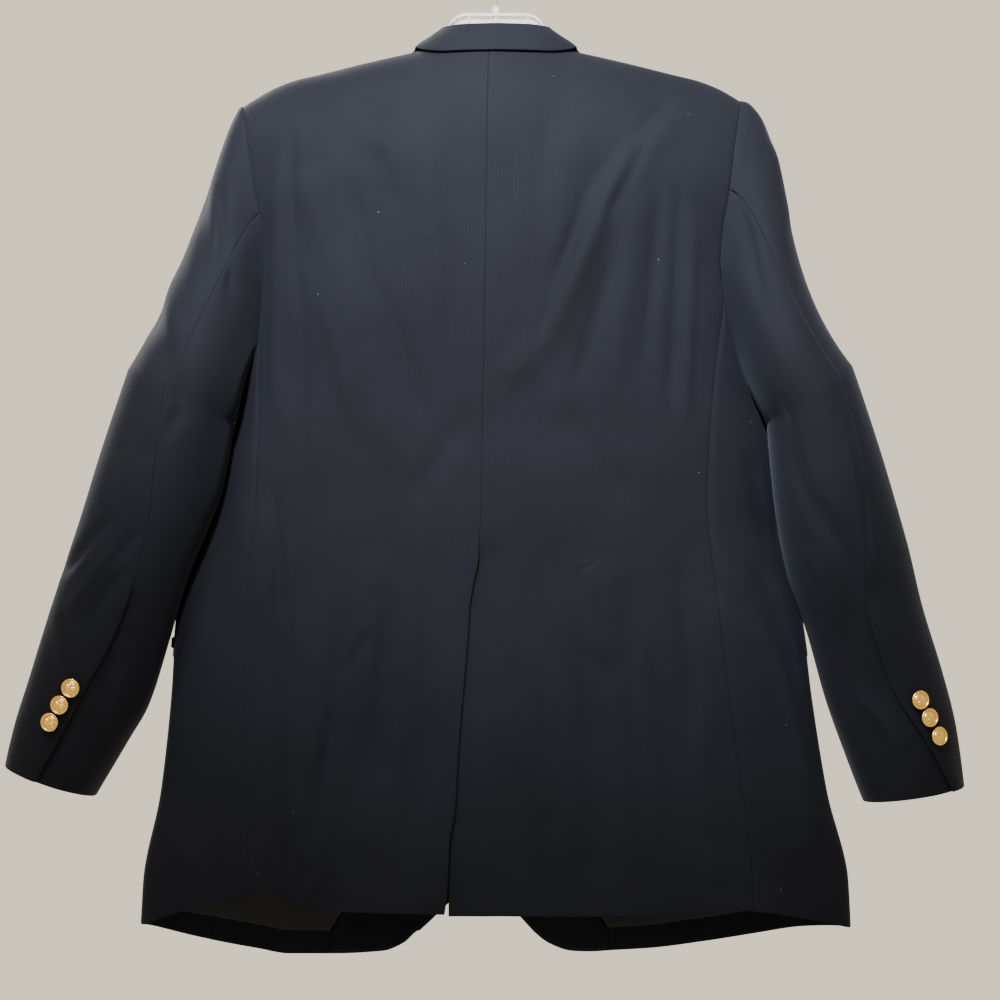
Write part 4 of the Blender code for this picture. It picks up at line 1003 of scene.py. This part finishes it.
def button(name, node, diameter, place, normal):
    """A domed button: a beaded rim, a ring, and a plain eight-lobed rosette in low relief."""
    radius = diameter / 2
    turns = np.radians(np.linspace(0, 360, 96, endpoint=False))
    profile = [(r, dome_height(r)) for r in np.linspace(0.03, 0.80, 20)] + BUTTON_PROFILE
    r, z = np.array(profile).T[:, :, None]
    beads = 0.022 * np.cos(32 * turns) * ((r >= 0.85) & (r <= 0.95) & (z > 0))
    rings = xyz(r * np.cos(turns), r * np.sin(turns), z + relief(r, turns) * (r <= 0.8) + beads)
    tip, foot = (0, 0, rings[0, :, 2].mean()), (0, 0, BUTTON_PROFILE[-1][1])
    coords = np.concatenate([rings.reshape(-1, 3), [tip, foot]]) * radius
    faces = ring_faces(*rings.shape[:2])
    for end, middle in ((faces.pop(), len(coords) - 1), (faces.pop(), len(coords) - 2)):
        faces += [(middle, a, b) for a, b in zip(end, end[1:] + end[:1])]
    way = np.array(Vector(normal).to_track_quat("Z", "Y").to_matrix())
    centre = place + normal * (radius * BUTTON_BASE + 1.6 * SEAM_GAP)
    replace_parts(add_piece(name, smooth_mesh(name, coords @ way.T + centre, faces), "gold"), node)


def dome_height(r):
    return 0.3 - 0.2 * (r / 0.8) ** 2.2


def relief(r, turns):
    petals = 0.035 * np.cos(8 * turns) * ease((r - 0.12) / 0.12) * ease((0.5 - r) / 0.1)
    ring = 0.03 * np.exp(-((r - 0.6) / 0.03) ** 2)
    return petals + ring - 0.03 * np.exp(-((r - 0.7) / 0.045) ** 2)


def stitches(name, lines, radius=0.28):
    """Short threads lying on the cloth; each line is its points and how far a thread runs."""
    coords, faces = [], []
    for points, thread, pitch in lines:
        runs = runs_along(points)
        for start in np.arange(pitch * 0.5, runs[-1] - thread, pitch):
            at = [Vector([np.interp(start + thread * k / 4, runs, points[:, i]) for i in range(3)])
                  for k in range(5)]
            add_thread(coords, faces, at, radius)
    add_piece(name, smooth_mesh(name, coords, faces), "wool", "thread")


def add_thread(coords, faces, at, radius):
    way = (at[-1] - at[0]).normalized()
    side = way.orthogonal().normalized()
    other = way.cross(side)
    faces += ring_faces(len(at), 4, len(coords))
    for spot, size in zip(at, (0.35, 0.9, 1.0, 0.9, 0.35)):
        coords += [tuple(spot + (side * math.cos(a) + other * math.sin(a)) * radius * size)
                   for a in (0.0, 1.571, 3.142, 4.712)]


def hook_path():
    """The wire's middle line, from the boss up, out and over in one round bend."""
    turn = np.radians(np.linspace(-58, 206, 70))
    bend = HOOK_RADIUS * xyz(np.cos(turn), 0.0, np.sin(turn)) + (0, 0, HOOK_WIRE - HOOK_RADIUS)
    leave, arrive = np.array((0, 0, 14.0)), 14 * xyz(-np.sin(turn[0]), 0.0, np.cos(turn[0]))
    shank = xyz(0.0, 0.0, np.linspace(SEAM_GAP - BOSS_TOP, SHANK_TOP, 8))
    sweep = curve(shank[-1], bend[0], leave, arrive, even(16)[:-1, None])
    return np.concatenate([shank[:-1], sweep, bend])


def hook():
    line = bpy.data.curves.new("hook_wire", "CURVE")
    line.dimensions = "3D"
    line.bevel_depth = HOOK_WIRE * MM
    line.bevel_resolution = 6
    line.use_fill_caps = True
    points = hook_path()
    spline = line.splines.new("POLY")
    spline.points.add(len(points) - 1)
    for spot, point in zip(spline.points, points):
        spot.co = (*(np.array(point) * MM), 1.0)
    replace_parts(add_piece("hook_wire", line, "steel"), "hook")


def area_light(name, place, aim, size, power, colour):
    light = bpy.data.lights.new(name, "AREA")
    light.shape = "RECTANGLE"
    light.size, light.size_y = size
    set_light(light, place, aim, power, colour)


def pool_light(name, place, aim, cone, power, colour):
    """A soft round pool of light, brightest where it is aimed."""
    light = bpy.data.lights.new(name, "SPOT")
    light.spot_size = math.radians(cone)
    light.spot_blend = 1.0
    light.shadow_soft_size = 0.09
    set_light(light, place, aim, power, colour)


def set_light(light, place, aim, power, colour):
    light.energy = power
    light.color = colour
    thing = add_thing(light.name, light)
    thing.location = place
    thing.rotation_mode = "QUATERNION"
    thing.rotation_quaternion = (Vector(aim) - Vector(place)).to_track_quat("-Z", "Y")


# The photograph's view: from behind, level, with the garment's middle near the picture's.
PHOTO_SCALE = 0.88        # millimetres to a pixel at the hanger's plane
PHOTO_SIZE = 1000
CAMERA_AWAY = 2600.0
MIDDLE_PIXEL = 496
TOP_DROP = 64.7           # the drop at the picture's upper edge
FLOOR_DROP = 1750.0
FLOOR_RADIUS = 3900.0
WALL_COLOUR = (0.93, 0.84, 0.63)
WALL_STRENGTH = 1.25


def set_camera():
    lens = bpy.data.cameras.new("camera")
    lens.sensor_width = 36.0
    lens.lens = 36.0 * CAMERA_AWAY / (PHOTO_SIZE * PHOTO_SCALE)
    lens.clip_end = 60.0
    camera = add_thing("camera", lens)
    camera.location = ((MIDDLE_PIXEL - PHOTO_SIZE / 2) * PHOTO_SCALE * MM, CAMERA_AWAY * MM,
                       -(TOP_DROP + PHOTO_SIZE / 2 * PHOTO_SCALE) * MM)
    camera.rotation_euler = (math.radians(90), 0.0, math.radians(180))
    bpy.context.scene.camera = camera


def set_stage():
    rim = np.radians(np.arange(0, 360, 3.75))
    points = xyz(np.cos(rim), np.sin(rim), 0.0) * FLOOR_RADIUS
    floor = add_thing("floor", smooth_mesh("floor", points, [tuple(range(len(rim)))]))
    floor.data.materials.append(looks["floor"])
    floor.location = (0.0, 0.0, -FLOOR_DROP * MM)
    world = bpy.data.worlds.new("studio")
    world.use_nodes = True
    set_inputs(world.node_tree.nodes["Background"], Color=(*WALL_COLOUR, 1.0),
               Strength=WALL_STRENGTH)
    bpy.context.scene.world = world
    area_light("key", (0.55, 0.95, 0.55), (-0.03, 0.0, -0.30), (0.3, 0.3), 24.0, (0.97, 0.98, 1.0))
    area_light("front", (1.1, -1.4, 0.8), (0.0, 0.0, -0.45), (0.6, 0.6), 95.0, (1.0, 0.98, 0.96))
    pool_light("pool", (0.3, 1.9, 0.95), (-0.02, 0.0, -0.17), 31.0, 1550.0, (0.96, 0.98, 1.0))


looks = {
    "wool": worsted("navy wool", (0.0031, 0.0034, 0.0053), (0.0044, 0.0048, 0.0074), 0.00045),
    "lining": satin("navy lining", (0.0022, 0.0025, 0.0038), (0.0035, 0.0040, 0.0058)),
    "gold": mottled("gilt brass", (900.0, 4.0, 0.6), (0.50, 0.27, 0.05), (0.82, 0.54, 0.15),
                    ((0.2, 0.34), (0.8, 0.18)), spread=((0.35, 0.0), (0.65, 1.0)),
                    relief=((1500.0, 2.0), 0.15, 0.0001), Metallic=1.0),
    "plastic": mottled("clear plastic", (160.0, 4.0, 0.6), (0.86, 0.88, 0.88),
                       (0.96, 0.97, 0.97), ((0.35, 0.06), (0.75, 0.2)),
                       relief=((90.0, 2.0), 0.08, 0.0005), IOR=1.49, Transmission_Weight=0.85),
    "steel": mottled("drawn steel", (500.0, 3.0, 0.6), (0.19, 0.19, 0.19), (0.31, 0.31, 0.32),
                     ((0.3, 0.22), (0.7, 0.4)), relief=((), 0.1, 0.0001), Metallic=1.0),
    "thread": mottled("navy thread", (2500.0, 2.0), (0.016, 0.019, 0.034),
                      (0.0352, 0.0418, 0.0748), 0.6, relief=((), 0.4, 0.0002)),
    "floor": mottled("floor", (3.0, 4.0), (0.78, 0.76, 0.72), (0.7254, 0.7068, 0.6696), 0.9),
}

for side in SIDES:
    cloth("back_cloth_" + side, "back_" + side, back_grid(side))
    cloth("side_cloth_" + side, "side_panel_" + side, side_grid(side, even(26), even(128)))
    cloth("front_cloth_" + side, "front_" + side,
          front_grid(side, even(62), two_spans(1, 118, 2, 62)))
    for part, over in (("sleeve_top", True), ("sleeve_under", False)):
        cloth(part + "_cloth_" + side, part + "_" + side, sleeve_grid(side, over),
              inside=sleeve_axis(side))
    for part, grid, wall, roll in (("lapel", lapel_grid, LAPEL_WALL, 0.4),
                                   ("flap", flap_grid, WALL, 0.3),
                                   ("facing", facing_grid, FACING_WALL, 0.3)):
        cloth(part + "_cloth_" + side, part + "_" + side, grid(side), wall, creases=False,
              roll=roll)
    cloth("lining_cloth_" + side, "lining_" + side, lining_grid(side), LINING_WALL,
          slot="lining", creases=False, roll=0.2)
cloth("collar_cloth", "collar", collar_grid(), COLLAR_WALL, collar_axis, creases=False, roll=0.4)

for side in SIDES:
    for number, spot in enumerate(CUFF_BUTTONS[side], 1):
        at = (np.array([spot.out_drop]), np.array([spot.turn]))
        lift = cuff_lift(side, *at, True)
        low, high = sleeve_point(side, *at, lift)[0], sleeve_point(side, *at, lift + 1)[0]
        name = "cuff_button_%s_%d" % (side, number)
        button("gilt_" + name, name, SLEEVE_BUTTON, low, unit(high - low))
for number, drop in enumerate(BUTTON_DROPS, 1):
    lift = front_lap("left", CENTRE_FRONT, drop)
    low = face_point("front", CENTRE_FRONT, drop, lift)
    normal = unit(face_point("front", CENTRE_FRONT, drop, lift + 1) - low)
    name = "front_button_%d" % number
    button("gilt_" + name, name, FRONT_BUTTON, low, normal)

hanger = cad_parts["hanger"].data.materials
hanger.clear()
hanger.append(looks["plastic"])
hook()

# Buttonholes: one to each front button, running away from the edge, and one on the left lapel.
holes = []
for drop in BUTTON_DROPS:
    for shift in (-0.7, 0.7):
        x = np.linspace(CENTRE_FRONT + FRONT_BUTTON / 2 + 1, CENTRE_FRONT + 22, 20)
        lift = front_lap("left", x, drop)
        holes.append((face_point("front", x, drop + shift, lift + 0.12), 0.9, 0.95))
for shift in (-0.7, 0.7):
    along = np.linspace(0, 20, 20)
    x, drop = LAPEL_TIP[0] - 12 - along * 0.92, LAPEL_TIP[1] + 6 - along * 0.38 + shift
    holes.append((face_point("front", x, drop, LAPEL_WALL + 1.42), 0.9, 0.95))
stitches("buttonhole_stitches", holes)

set_camera()
set_stage()
